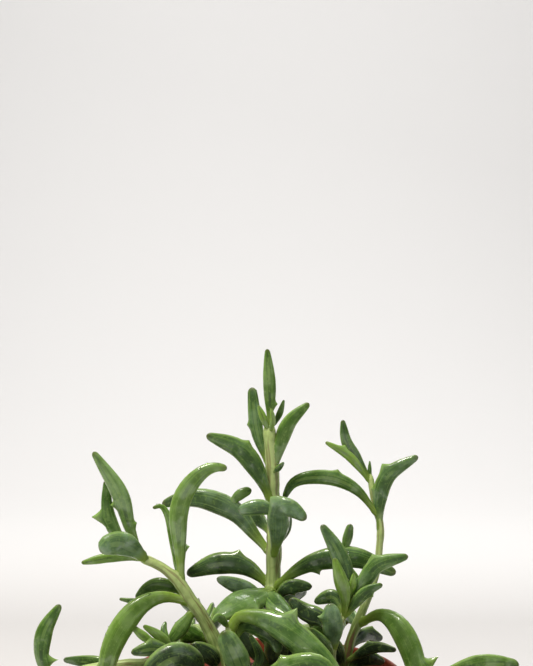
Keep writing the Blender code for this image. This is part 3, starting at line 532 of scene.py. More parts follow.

# The waxy skin of a succulent leaf, as it grows: green cells under a clear cuticle, dulled by pale
# bloom, laid thicker on the upper faces than below as a painted top light. Old leaves are dark olive
# green, young ones yellow-green, and low leaves and those at the back are darker still as painted
# shade under the canopy. The margins and the foot of each are paler, because the water tissue shows
# through where the green layer thins out. A film of water lies in patches and gives them a sharper
# gloss.
LEAF_SKIN = Finish(
    "waxy_leaf_skin_grown", DEEP_GREEN,
    layers=(
        # The dark base shows on low and back leaves as painted shade under the canopy, as well as age
        Layer("full green", "3A5E0C", (Step("age", 0.1, 0.52, easing=Easing.EVEN),)),
        Layer("young green", YOUNG_GREEN, (Step("age", 0.52, 1.0, easing=Easing.EVEN),)),
        Layer("dark middle", DEEP_GREEN, (Step("rim", 0.0, 0.55, 0.35, 0.0),)),
        Layer("pale margin", WATER_TISSUE, (Step("rim", 0.7, 0.97), Step("mottle", easing=Easing.EVEN))),
        Layer("pale streaks", WATER_TISSUE, (Step("streaks", 0.52, 0.7, 0.0, 0.32),)),
        Layer("dark streaks", DEEP_GREEN, (Step("streaks", 0.46, 0.32, 0.0, 0.5),)),
        Layer("wax bloom and painted top light", "84A080", (
            Step("bloom", easing=Easing.EVEN), Step("mottle", 0.35, 0.7, 0.25, 0.75),
            # Thicker on the upper faces than below: painted top light, paler tops and darker undersides over
            # the real wax
            Step("side", -0.3, 0.6, 0.25, 1.0),
        )),
        Layer("pale specks", WATER_TISSUE, (Step("specks", 0.58, 0.68, 0.0, 0.18),)),
        Layer("pale foot", "80983C", (Step("along", 0.05, 0.32, 0.85, 0.0),)),
        Layer("brown tip", "56502A", (Step("along", 0.94, 1.0, 0.0, 0.5),)),
    ),
    patterns={
        "mottle": Pattern(5.0, 3.0), "cells": Pattern(0.45), "specks": Pattern(0.99, 1.0),
        "wet": Pattern(5.0),
        "streaks": Pattern(follows=(("along", 3.0), ("rim", 9.0), ("seed", 40.0))),
    },
    reads={"place": ("along", "rim", "side"), "nature": ("tone", "bloom", "seed")},
    age=(0.2, {"tone": 0.5, "mottle": 0.6}),
    varying={
        "Roughness": Step("mottle", at_low=0.24, at_high=0.48, easing=Easing.EVEN),
        "Coat Weight": Step("wet", 0.5, 0.56, 0.04, 1.0),
    },
    even={
        "IOR": 1.42, "Specular IOR Level": 0.3, "Coat Roughness": 0.06, "Subsurface Weight": 0.22,
        "Subsurface Radius": (0.5, 1.0, 0.2), "Subsurface Scale": 1.4 * MM,
    },
    relief=(("cells", 0.08, 0.45), ("mottle", 0.5, 0.3)),
)
# The stem's skin, as it grows: pale yellow-green and faintly ribbed, firmer green low down, with
# streaks of brown cork.
STEM_SKIN = Finish(
    "tender_stem_skin_grown", FIRM_GREEN,
    layers=(
        Layer("tender top", TENDER_GREEN, (Step("along", 0.15, 0.85),)),
        Layer("pale ribs", TENDER_GREEN, (Step("streaks", 0.5, 0.6, 0.0, 0.9),)),
        Layer("cork", "6B5336", (Step("streaks", 0.48, 0.38), Step("along", 0.25, 0.9, 1.0, 0.55))),
        Layer("firm patches", FIRM_GREEN, (Step("mottle", 0.5, 0.7, 0.0, 0.3),)),
    ),
    patterns={
        "streaks": Pattern(detail=3.0, follows=(("along", 5.0), ("around", 10.0))),
        "cells": Pattern(0.5), "mottle": Pattern(3.0),
    },
    reads={"place": ("along", "around", "across")},
    even={
        "Roughness": 0.42, "IOR": 1.42, "Subsurface Weight": 0.2, "Subsurface Radius": (0.7, 1.0, 0.25),
        "Subsurface Scale": 1.2 * MM,
    },
    relief=(("streaks", 0.25, 0.35), ("cells", 0.08, 0.3)),
)
# Injection-moulded polypropylene in terracotta red: a soft sheen, fine moulded texture, cloudy
# fading, and dried splashes of soil near the rim.
POT_PLASTIC = Finish(
    "terracotta_polypropylene_moulded", "8A3A22",
    layers=(
        Layer("faded clouds", "9C5032", (Step("clouds", 0.4, 0.65, 0.0, 0.55),)),
        Layer("dried soil", "553224", (
            Step("splashes", 0.56, 0.68, 0.0, 0.6), Step("height", 60 * MM, 88 * MM, 0.15, 0.8),
        )),
    ),
    patterns={"clouds": Pattern(22.0, 3.0), "texture": Pattern(0.5), "splashes": Pattern(6.0, 5.0, 0.65)},
    reads={HERE: ("across", "deep", "height")},
    varying={"Roughness": Step("splashes", 0.4, 0.7, 0.42, 0.66)},
    even={"IOR": 1.49},
    relief=(("texture", 0.05, 0.5), ("clouds", 0.4, 0.15)),
)
# What the potting mix is made of: matt damp peat and its crumbs, warmer pine bark and pale perlite,
# each in patches from dark to light with a gritty relief.
PEAT, CRUMBS, BARK, PERLITE = (
    Finish(
        name, dark,
        layers=(
            Layer("light patches", light, (Step("patches", 0.35, 0.68),)),
            Layer("light grit", light, (Step("grit", 0.55, 0.75, 0.0, 0.5),)),
        ),
        patterns={"patches": Pattern(patch_mm, 4.0, 0.6), "grit": Pattern(grit_mm, 4.0, 0.7)},
        even={"Roughness": roughness},
        relief=(("patches", 1.0, 0.5), ("grit", 0.4, 0.8)),
    )
    for name, dark, light, patch_mm, grit_mm, roughness in (
        ("damp_peat_sieved", "1C140E", "3E2F22", 5.0, 0.7, 0.92),
        ("peat_crumbs_damp", "2A1D13", "5A412B", 2.5, 0.5, 0.9),
        ("pine_bark_chipped", "3F2413", "7A4B2A", 3.0, 0.6, 0.8),
        ("perlite_expanded", "B9B3A6", "EFECE4", 2.0, 0.3, 0.85),
    )
)
# Clear water that stands in beads on the waxy skin
WATER = Finish(
    "dew_water_beaded", "FFFFFF", even={"Roughness": 0.02, "IOR": 1.333, "Transmission Weight": 1.0}
)
# Matt seamless paper for the floor and wall of the studio
PAPER = Finish("seamless_paper_matt", "E3E2E1", even={"Roughness": 0.9, "Specular IOR Level": 0.1})


def add_object(name: str, data: Any, collection: bpy.types.Collection | None = None) -> bpy.types.Object:
    """Puts new data in the scene as an object.

    Args:
        name: the object's name.
        data: its mesh, curve or light.
        collection: where it goes, or None for the scene's own.

    Returns:
        The object.
    """
    made = bpy.data.objects.new(name, data)
    (collection or bpy.context.scene.collection).objects.link(made)
    return made


def evaluated_mesh(made: bpy.types.Object) -> bpy.types.Mesh:
    """Turns an object and its modifiers to a plain mesh.

    Args:
        made: the object.

    Returns:
        A new mesh.
    """
    bpy.context.view_layer.update()
    return bpy.data.meshes.new_from_object(made.evaluated_get(bpy.context.evaluated_depsgraph_get()))


def combine(made: bpy.types.Object, meshes: Sequence[bpy.types.Mesh], joining: Joining) -> None:
    """Joins meshes to a piece or cuts them from it, by one Boolean, and removes its modifiers.

    Args:
        made: the piece.
        meshes: what is joined or cut.
        joining: whether they are grown together or cut.
    """
    group = bpy.data.collections.new(made.name + "_parts")
    bpy.context.scene.collection.children.link(group)
    parts = [add_object(mesh.name, mesh, group) for mesh in meshes]
    boolean = made.modifiers.new("parts", "BOOLEAN")
    boolean.operation, boolean.solver = joining.value
    boolean.operand_type, boolean.collection = "COLLECTION", group
    mesh = evaluated_mesh(made)
    made.modifiers.clear()
    made.data = mesh
    for part in parts:
        bpy.data.objects.remove(part)
    bpy.data.collections.remove(group)


def soften(mesh: bpy.types.Mesh, angle: float) -> None:
    """Shades a mesh smooth but for its sharp edges.

    Args:
        mesh: the mesh.
        angle: the least angle of a sharp edge, in degrees.
    """
    mesh.shade_smooth()
    mesh.set_sharp_from_angle(angle=math.radians(angle))


class SmoothLine:
    """A smooth line through given points, measured along its length."""

    def __init__(self, points: Sequence[Vector], lead: Sequence[Vector] = (), steps: int = 24) -> None:
        """Draws the line.

        Args:
            points: what it passes through, as a Catmull-Rom line.
            lead: points of a straight run before the first one.
            steps: how many short pieces each span has.
        """
        ends = [points[0] * 2 - points[1], *points, points[-1] * 2 - points[-2]]
        self.points = list(lead)
        for a, b, c, d in zip(ends, ends[1:], ends[2:], ends[3:]):
            for step in range(steps):
                t = step / steps
                bend = (2 * a - 5 * b + 4 * c - d) * t**2 + (3 * b - a - 3 * c + d) * t**3
                self.points.append(0.5 * (2 * b + (c - a) * t + bend))
        self.points.append(points[-1])
        self.lengths = [0.0]
        for start, end in zip(self.points, self.points[1:]):
            self.lengths.append(self.lengths[-1] + (end - start).length)

    @property
    def length(self) -> float:
        """The line's whole length."""
        return self.lengths[-1]

    def at(self, share: float) -> Vector:
        """The point at a share of the length.

        Args:
            share: from 0 at the start to 1 at the end.

        Returns:
            The point.
        """
        goal = min(max(share, 0.0), 1.0) * self.length
        index = min(bisect.bisect_right(self.lengths, goal) - 1, len(self.points) - 2)
        stretch = self.points[index + 1] - self.points[index]
        part = (goal - self.lengths[index]) / stretch.length
        return self.points[index] + stretch * part

    def ahead(self, share: float, window: float = 0.02) -> Vector:
        """The direction at a share of the length, smoothed over a short window.

        Args:
            share: from 0 at the start to 1 at the end.
            window: half of the window, as a share.

        Returns:
            The direction, of length one.
        """
        return (self.at(share + window) - self.at(share - window)).normalized()

    def nearest(self, point: Vector) -> float:
        """How far along the line, in its own units, it passes nearest to a point."""
        best = min(range(len(self.points)), key=lambda i: (self.points[i] - point).length_squared)
        return self.lengths[best]


def write_corners(mesh: bpy.types.Mesh, name: str, per_vertex: Sequence[Sequence[float]]) -> None:
    """Stores three values at each face corner, where a Boolean union keeps them.

    Args:
        mesh: the mesh.
        name: the attribute's name.
        per_vertex: the three values of each vertex.
    """
    attribute = mesh.attributes.new(name, "FLOAT_VECTOR", "CORNER")
    flat = [value for loop in mesh.loops for value in per_vertex[loop.vertex_index]]
    attribute.data.foreach_set("vector", flat)


@dataclass(frozen=True)
class LeafLoft:
    """How every leaf is lofted along its line: shares are of its length or of its widest."""

    sides: int = 18
    stations: int = 24
    end_crowding: float = 0.4
    about_fin: tuple[float, ...] = (-1, -0.72, -0.48, -0.28, -0.12, 0, 0.12, 0.28, 0.48, 0.72, 1)
    cap_turns: tuple[int, ...] = (0, 26, 47, 65, 80)
    cap_length: float = 0.6
    ring_gap: float = 0.012
    least_gap: float = 0.3
    petiole: float = 0.32
    widest: float = 0.55
    pointed_end: float = 0.32
    blunt_end: float = 0.6
    end_curve: float = 1.8
    flatness: float = 0.62
    flat_from: float = 0.35
    upper_fullness: float = 0.9
    lower_fullness: float = 1.08
    groove: float = 0.16
    groove_tightness: int = 6
    lens: float = 1.12
    fin_foot_mm: float = 1.8
    fin_spread: float = 0.35
    fin_widest: float = 0.12
    fin_sharpness: float = 1.5
    fin_hold: float = 5.0
    fin_rise: float = 0.15
    wobble: float = 0.05
    wobbles: float = 4.0
    dents: float = 7.0
    dent_seed: int = 9
    collar: float = 0.25
    collar_at_mm: float = 2.2
    collar_mm: float = 1.2

    def end(self, leaf: Leaf) -> float:
        """How wide a leaf's end is before it rounds off."""
        return self.blunt_end if leaf.blunt else self.pointed_end

    def width(self, leaf: Leaf, share: float) -> float:
        """Width of a leaf along its length, as a share of its widest.

        Args:
            leaf: the leaf.
            share: place along it.

        Returns:
            The width.
        """
        if share < self.widest:
            rise = share / self.widest
            return self.petiole + (1 - self.petiole) * rise * rise * (3 - 2 * rise)
        fall = ((share - self.widest) / (1 - self.widest)) ** self.end_curve
        return 1 - (1 - self.end(leaf)) * fall

    def cap_start(self, leaf: Leaf, length: float) -> float:
        """Where along a leaf of this length its rounded end begins."""
        return 1 - self.cap_length * self.end(leaf) * leaf.width / length

    def reach(self, fin: Fin, length: float) -> float:
        """How far along the leaf a fin's foot spreads from its middle."""
        return min((self.fin_foot_mm + self.fin_spread * fin.length) / length, self.fin_widest)

    def rings(self, leaf: Leaf, length: float) -> list[float]:
        """Where the rings stand: closer at both ends, and close about each fin.

        Args:
            leaf: the leaf.
            length: how long it is, in millimetres.

        Returns:
            The places along the leaf, from 0 to just under 1.
        """
        plain, start, crowded = [], self.cap_start(leaf, length), self.end_crowding
        for i in range(self.stations):
            share = i / self.stations
            eased = (1 - math.cos(math.pi * share)) / 2
            plain.append(start * ((1 - crowded) * share + crowded * eased))
        plain += [start + (1 - start) * math.sin(math.radians(turn)) for turn in self.cap_turns]
        close = [fin.at + self.reach(fin, length) * place for fin in leaf.fins for place in self.about_fin]
        close = [place for place in close if 0.0 < place < start]
        plain = [place for place in plain if all(abs(place - other) > self.ring_gap for other in close)]
        merged: list[float] = []
        for place in sorted(plain + close):
            if not merged or place - merged[-1] > self.ring_gap * self.least_gap:
                merged.append(place)
        return merged

    def section(self, angle: float) -> tuple[float, float]:
        """The outline of a leaf's section: a lens, fuller below and faintly furrowed above.

        Args:
            angle: from the left margin, round over the upper face.

        Returns:
            How far across and how far out, from -1 to 1.
        """
        across, out = math.cos(angle), math.sin(angle)
        shaped = math.copysign(abs(out) ** self.lens, out)
        if out > 0:
            return across, shaped * (self.upper_fullness - self.groove * out**self.groove_tightness)
        return across, shaped * self.lower_fullness

    def ring(self, leaf: Leaf, line: SmoothLine, share: float, seed: float) -> list[Vector]:
        """One ring of a leaf, drawn out into its fins.

        Args:
            leaf: the leaf.
            line: its middle line.
            share: the ring's place along it.
            seed: a number of the leaf's own.

        Returns:
            The ring's points in millimetres.
        """
        centre, ahead = line.at(share), line.ahead(share)
        side = Vector(leaf.facing).cross(ahead).normalized()
        face = ahead.cross(side)
        from_collar = (share * line.length - self.collar_at_mm) / self.collar_mm
        collar = 1 + self.collar * math.exp(-(from_collar**2))
        uneven = 1 + self.wobble * noise.noise(Vector((seed, share * self.wobbles, 0)))
        start = self.cap_start(leaf, line.length)
        cap = math.sqrt(1 - ((share - start) / (1 - start)) ** 2) if share > start else 1.0
        width = leaf.width * self.width(leaf, share) * collar * uneven * cap
        flatten = 1 - (1 - self.flatness) * min(1.0, share / self.flat_from)
        points = []
        for corner in range(self.sides):
            angle = math.tau * corner / self.sides
            across, out = self.section(angle)
            dent = noise.noise(Vector((seed + self.dent_seed, share * self.dents, across)))
            dented = 1 + self.wobble / 2 * dent
            point = centre + side * across * width / 2 + face * out * width * flatten * dented / 2
            for fin in leaf.fins:
                nearness = 1 - abs(fin.at - share) / self.reach(fin, line.length)
                toward = math.cos(angle) * fin.margin.value
                if nearness > 0 and toward > 0:
                    drawn = fin.length * nearness**self.fin_sharpness * toward**self.fin_hold
                    point += (side * fin.margin.value + ahead * fin.sweep + face * self.fin_rise) * drawn
            points.append(point)
        return points

    def mesh(self, leaf: Leaf, line: SmoothLine, seed: float) -> bpy.types.Mesh:
        """A closed leaf from its foot to its tip.

        Args:
            leaf: the leaf.
            line: its middle line, in millimetres.
            seed: a number of the leaf's own.

        Returns:
            The leaf's mesh, with its place and nature at each corner.
        """
        points, places = [], []
        for share in self.rings(leaf, line.length):
            points += self.ring(leaf, line, share, seed)
            for corner in range(self.sides):
                angle = math.tau * corner / self.sides
                places.append((share, abs(math.cos(angle)), math.sin(angle)))
        points.append(line.at(1.0))
        places.append((1.0, 0.5, 0.0))
        tip, count = len(points) - 1, self.sides
        faces = [tuple(reversed(range(count)))]
        for low in range(0, tip - count, count):
            for i in range(count):
                j = (i + 1) % count
                faces.append((low + i, low + j, low + count + j, low + count + i))
        faces += [(tip - count + i, tip - count + (i + 1) % count, tip) for i in range(count)]
        mesh = bpy.data.meshes.new("leaf")
        mesh.from_pydata([point * MM for point in points], [], faces)
        write_corners(mesh, "place", places)
        write_corners(mesh, "nature", [(leaf.tone, leaf.bloom, seed % 1.0)] * len(points))
        return mesh


class Tree:
    """A Geometry Nodes tree with named inputs, which ends in Realize Instances and Set Material."""

    KINDS = {float: "NodeSocketFloat", int: "NodeSocketInt", bpy.types.Material: "NodeSocketMaterial"}

    def __init__(self, name: str, inputs: dict[str, type]) -> None:
        """Starts the tree.

        Args:
            name: the tree's name.
            inputs: each input's name and kind.
        """
        self.tree = bpy.data.node_groups.new(name, "GeometryNodeTree")
        face = self.tree.interface
        for direction in ("INPUT", "OUTPUT"):
            face.new_socket(name="Geometry", in_out=direction, socket_type="NodeSocketGeometry")
        self.sockets = {}
        for label, kind in {**inputs, "Material": bpy.types.Material}.items():
            made = face.new_socket(name=label, in_out="INPUT", socket_type=self.KINDS[kind])
            self.sockets[label] = made.identifier
        self.given = self.tree.nodes.new("NodeGroupInput").outputs

    def random_shift(self, pattern: bpy.types.Node, size: Any) -> bpy.types.Node:
        """A shift in a random direction, from a noise and the shift's size.

        Args:
            pattern: the noise.
            size: how large the shift is, as an output.

        Returns:
            The node that gives the shift.
        """
        middle = add_node(self.tree, "ShaderNodeVectorMath", {
            "operation": "SUBTRACT", 0: pattern.outputs["Color"], 1: (0.5, 0.5, 0.5),
        })
        return add_node(self.tree, "ShaderNodeVectorMath", {"operation": "SCALE", 0: middle, "Scale": size})

    def finish(self, geometry: bpy.types.Node) -> None:
        """Ends the tree.

        Args:
            geometry: what it gives, before instances are made real and the material is set.
        """
        real = add_node(self.tree, "GeometryNodeRealizeInstances", {"Geometry": geometry})
        dressed = {"Geometry": real, "Material": self.given["Material"]}
        add_node(self.tree, "NodeGroupOutput", {
            "Geometry": add_node(self.tree, "GeometryNodeSetMaterial", dressed),
        })

    def run(self, name: str, made: bpy.types.Object, values: dict[str, Any]) -> bpy.types.Object:
        """Runs the tree on an object and keeps the result as a plain mesh.

        Args:
            name: the result's name.
            made: the object that the tree starts from, which is removed.
            values: each input's value, by its name.

        Returns:
            A new object at the origin.
        """
        modifier = made.modifiers.new(self.tree.name, "NODES")
        modifier.node_group = self.tree
        for label, value in values.items():
            modifier[self.sockets[label]] = value
        mesh = evaluated_mesh(made)
        bpy.data.objects.remove(made)
        return add_object(name, mesh)


class StemSweep(Tree):
    """Sweeps a round, slightly uneven stem along its line, as thick as the line's radius."""

    def __init__(self) -> None:
        """Builds the tree."""
        super().__init__("stem_sweep", {
            "Spacing": float, "Sides": int, "Unevenness": float, "Unevenness Size": float,
        })
        add, given = partial(add_node, self.tree), self.given
        line = add("GeometryNodeResampleCurve", {
            "mode": "LENGTH", "Curve": given["Geometry"], "Length": given["Spacing"],
        })
        ring = add("GeometryNodeCurvePrimitiveCircle", {"Radius": 1.0, "Resolution": given["Sides"]})
        kept = []
        for curve in (line, ring):
            place = add("GeometryNodeCaptureAttribute")
            place.capture_items.new("FLOAT", "place")
            self.tree.links.new(curve.outputs[0], place.inputs[0])
            self.tree.links.new(add("GeometryNodeSplineParameter").outputs["Factor"], place.inputs[1])
            kept.append(place.outputs)
        (along_curve, along), (round_curve, around) = (outputs[:2] for outputs in kept)
        swept = add("GeometryNodeCurveToMesh", {
            "Fill Caps": True, "Curve": along_curve, "Profile Curve": round_curve,
            "Scale": add("GeometryNodeInputRadius"),
        })
        scale = add("ShaderNodeMath", {"operation": "DIVIDE", 0: 1.0, 1: given["Unevenness Size"]})
        bumps = add("ShaderNodeTexNoise", {
            "Detail": 1.0, "Vector": add("GeometryNodeInputPosition"), "Scale": scale,
        })
        moved = add("GeometryNodeSetPosition", {
            "Geometry": swept, "Offset": self.random_shift(bumps, given["Unevenness"]),
        })
        self.finish(add("GeometryNodeStoreNamedAttribute", {
            "data_type": "FLOAT_VECTOR", "domain": "CORNER", "Name": "place", "Geometry": moved,
            "Value": add("ShaderNodeCombineXYZ", {0: along, 1: around}),
        }))


class Scatter(Tree):
    """Scatters small lumps over the upper side of a surface, sunk a little into it."""

    LEAST_UPWARD = 0.35
    PATCH_EDGE = 12.0
    VARIANTS = 4
    VARIANT_STEP = 7.3
    VARIANT_SHIFT = (2.1, 0.4)
    LUMP_SCALE = 1.1

    def __init__(self) -> None:
        """Builds the tree."""
        super().__init__("scatter", {
            "Density": float, "Apart": float, "Smallest": float, "Largest": float, "Flatness": float,
            "Roughness": float, "Level": float, "Patchiness": float, "Patch Size": float,
            "Detail": int, "Seed": int,
        })
        add, given = partial(add_node, self.tree), self.given
        points = self.points()
        size = add("FunctionNodeRandomValue", {
            "data_type": "FLOAT", 2: given["Smallest"], 3: given["Largest"], "Seed": given["Seed"],
        }).outputs[1]
        flat = add("ShaderNodeMath", {"operation": "MULTIPLY", 0: size, 1: given["Flatness"]})
        turn = add("FunctionNodeRandomValue", {
            "data_type": "FLOAT_VECTOR", 1: (0.0, 0.0, math.tau), "Seed": given["Seed"],
        })
        turned = add("FunctionNodeRotateRotation", {
            "rotation_space": "LOCAL", "Rotation": points.outputs["Rotation"],
            "Rotate By": add("FunctionNodeEulerToRotation", {0: turn}),
        })
        self.finish(add("GeometryNodeInstanceOnPoints", {
            "Pick Instance": True, "Points": points.outputs["Points"], "Instance": self.lumps(),
            "Scale": add("ShaderNodeCombineXYZ", {0: size, 1: size, 2: flat}), "Rotation": turned,
        }))

    def points(self) -> bpy.types.Node:
        """Spreads points over faces that look up and lie above the level, in patches.

        Returns:
            The node that gives the points.
        """
        add, given = partial(add_node, self.tree), self.given
        normal = add("ShaderNodeSeparateXYZ", {0: add("GeometryNodeInputNormal")})
        position = add("GeometryNodeInputPosition")
        height = add("ShaderNodeSeparateXYZ", {0: position})
        compare = {"operation": "GREATER_THAN"}
        up = add("FunctionNodeCompare", {**compare, 0: normal.outputs[2], 1: self.LEAST_UPWARD})
        high = add("FunctionNodeCompare", {**compare, 0: height.outputs[2], 1: given["Level"]})
        scale = add("ShaderNodeMath", {"operation": "DIVIDE", 0: 1.0, 1: given["Patch Size"]})
        patches = add("ShaderNodeTexNoise", {"Detail": 1.0, "Vector": position, "Scale": scale})
        edge = add("ShaderNodeMath", {"operation": "SUBTRACT", 0: patches, 1: given["Patchiness"]})
        share = {"operation": "MULTIPLY", "use_clamp": True, 0: edge, 1: self.PATCH_EDGE}
        return add("GeometryNodeDistributePointsOnFaces", {
            "distribute_method": "POISSON", "Mesh": given["Geometry"],
            "Selection": add("FunctionNodeBooleanMath", {"operation": "AND", 0: up, 1: high}),
            "Distance Min": given["Apart"], "Density Max": given["Density"],
            "Density Factor": add("ShaderNodeMath", share), "Seed": given["Seed"],
        })

    def lumps(self) -> bpy.types.Node:
        """Makes lumps of one size, each roughened in its own way.

        Returns:
            The node that gives them as instances.
        """
        add, joined = partial(add_node, self.tree), add_node(self.tree, "GeometryNodeJoinGeometry")
        for variant in range(self.VARIANTS):
            ball = add("GeometryNodeMeshIcoSphere", {"Radius": 1.0, "Subdivisions": self.given["Detail"]})
            place = add("ShaderNodeVectorMath", {
                "operation": "ADD", 0: add("GeometryNodeInputPosition"),
                1: (variant * self.VARIANT_STEP, *self.VARIANT_SHIFT),
            })
            rough = add("ShaderNodeTexNoise", {"Scale": self.LUMP_SCALE, "Detail": 1.0, "Vector": place})
            lump = add("GeometryNodeSetPosition", {
                "Geometry": ball, "Offset": self.random_shift(rough, self.given["Roughness"]),
            })
            single = add("GeometryNodeGeometryToInstance", {0: lump})
            self.tree.links.new(single.outputs[0], joined.inputs[0])
        return joined


@dataclass
class LeafyStem:
    """One stem with its leaves grown onto it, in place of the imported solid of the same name."""

    name: str
    stem: StemRun
    leaves: Sequence[Leaf] = ()
    points: Points = Points.SEEN
    root_depth: float = 65.0
    clear_of_soil: float = 86.0
    spacing_mm: float = 1.3
    sides: int = 20
    uneven_mm: float = 0.35
    uneven_size_mm: float = 4.0
    node_swelling: float = 0.14
    node_reach: float = 1.8
    tip_reach: float = 3.0
    tip_rounding: float = 0.93
    leaf_seed_gap: float = 1.37
    seam_rounds: int = 4
    crease_angle: float = 62.0
    loft: LeafLoft = field(default_factory=LeafLoft)

    def line(self) -> SmoothLine:
        """Draws the stem's middle line, straight down in the mix and smooth above it.

        Returns:
            The line.
        """
        x, y = self.stem.foot
        low, top = Vector((x, y, self.root_depth)), Vector((x, y, self.clear_of_soil))
        return SmoothLine([top, *placed(self.stem.path, self.points)], lead=[low])

    def radius(self, line: SmoothLine, distance: float, nodes: Sequence[float]) -> float:
        """The stem's radius: it thins upward, swells a little at each leaf and is round at its tip.

        Args:
            line: the stem's line.
            distance: how far along it, in millimetres.
            nodes: how far along it each leaf grows.

        Returns:
            The radius in millimetres.
        """
        buried = self.clear_of_soil - self.root_depth
        share = max(0.0, distance - buried) / (line.length - buried)
        thickness = self.stem.thick + (self.stem.thin - self.stem.thick) * share
        nearest = min(abs(distance - node) for node in nodes)
        swelling = 1 + self.node_swelling * math.exp(-((nearest / self.node_reach) ** 2))
        left = (line.length - distance) / self.tip_reach
        rounding = math.sqrt(1 - (1 - left) ** 2 * self.tip_rounding) if left < 1 else 1.0
        return thickness / 2 * swelling * rounding

    def stem_object(self, sweep: StemSweep) -> bpy.types.Object:
        """Sweeps the stem along its line.

        Args:
            sweep: the tree that sweeps.

        Returns:
            The stem alone.
        """
        line = self.line()
        nodes = [line.nearest(placed(leaf.path[:1], self.points)[0]) for leaf in self.leaves]
        curve = bpy.data.curves.new(self.name + "_line", "CURVE")
        curve.dimensions = "3D"
        spline = curve.splines.new("POLY")
        count = round(line.length / self.spacing_mm)
        spline.points.add(count)
        for i, point in enumerate(spline.points):
            point.co = (*(line.at(i / count) * MM), 1.0)
            point.radius = self.radius(line, i / count * line.length, nodes) * MM
        return sweep.run(self.name, add_object(self.name + "_line", curve), {
            "Spacing": self.spacing_mm * MM, "Sides": self.sides, "Unevenness": self.uneven_mm * MM,
            "Unevenness Size": self.uneven_size_mm * MM, "Material": STEM_SKIN.material(),
        })

    def build(self, sweep: StemSweep, seed: int) -> bpy.types.Object:
        """Grows the leaves onto the stem by one Boolean union.

        Args:
            sweep: the tree that sweeps the stem.
            seed: the number that the leaves' own numbers start from.

        Returns:
            The leafy stem, dressed.
        """
        made = self.stem_object(sweep)
        blades = []
        for number, leaf in enumerate(self.leaves):
            line = SmoothLine(placed(leaf.path, self.points))
            blades.append(self.loft.mesh(leaf, line, seed + number * self.leaf_seed_gap))
        for mesh, finish_number in [(blade, 0) for blade in blades] + [(made.data, 1)]:
            mesh.materials.clear()
            for finish in (LEAF_SKIN, STEM_SKIN):
                mesh.materials.append(finish.material())
            mesh.polygons.foreach_set("material_index", [finish_number] * len(mesh.polygons))
        combine(made, blades, Joining.GROWN)
        self.smooth_seams(made.data)
        soften(made.data, self.crease_angle)
        return made

    def smooth_seams(self, mesh: bpy.types.Mesh) -> None:
        """Softens the seam where each leaf grows out of the stem.

        Args:
            mesh: the leafy stem's mesh.
        """
        edit = bmesh.new()
        edit.from_mesh(mesh)
        seam = {v for e in edit.edges if len({f.material_index for f in e.link_faces}) > 1 for v in e.verts}
        for _ in range(self.seam_rounds):
            bmesh.ops.smooth_vert(edit, verts=list(seam), factor=0.5, use_axis_x=True, use_axis_y=True,
                                  use_axis_z=True)
        edit.to_mesh(mesh)
        edit.free()


@dataclass
class TrailingSpray:
    """Leaves set round a trailing stem by a fixed turn, on the side away from the pot.

    bow has how far out and how far up each leaf's middle and tip are, as shares of its length.
    """

    count: int = 9
    start: float = 0.34
    end: float = 0.98
    lift: float = 0.2
    bow: tuple = ((0.5, -0.08), (0.86, 0.22))
    lean: float = 0.1
    length: float = 25.0
    length_varies: float = 0.18
    wave: float = 1.7
    phase: float = 2.6
    width: float = 7.2
    fin_at: float = 0.6
    fin: float = 1.8
    turn: float = 137.5
    spread: float = 150.0
    over_rim: float = 51.8
    tone_varies: float = 0.25
    tone_wave: float = 2.1
    young_from: float = 0.75
    young_tone: float = 0.5

    def leaves(self, line: SmoothLine) -> list[Leaf]:
        """Works out the leaves.

        Args:
            line: the stem's line.

        Returns:
            The leaves, in plain coordinates.
        """
        made = []
        for i in range(self.count):
            share = self.start + (self.end - self.start) * i / (self.count - 1)
            base, ahead = line.at(share), line.ahead(share, 0.005)
            outward = Vector((base.x, base.y, 0)).normalized()
            turn = math.radians((i * self.turn) % self.spread - self.spread / 2)
            away = (outward * math.cos(turn) + outward.cross(SKY) * math.sin(turn)).normalized()
            varied = 1 - self.length_varies + self.length_varies * math.cos(i * self.wave + self.phase)
            length = self.length * varied
            lift = self.lift if math.hypot(base.x, base.y) < self.over_rim else 0.0
            path = [base] + [
                base + (away * out + SKY * (lift + up) + ahead * self.lean) * length for out, up in self.bow
            ]
            fin = Fin(self.fin_at, LEFT if i % 2 else RIGHT, self.fin)
            young = self.young_tone * max(0.0, share - self.young_from)
            tone = self.tone_varies * math.sin(i * self.tone_wave) + young
            made.append(Leaf(tuple(path), self.width, (fin,), tuple(away.cross(SKY)), tone=tone))
        return made


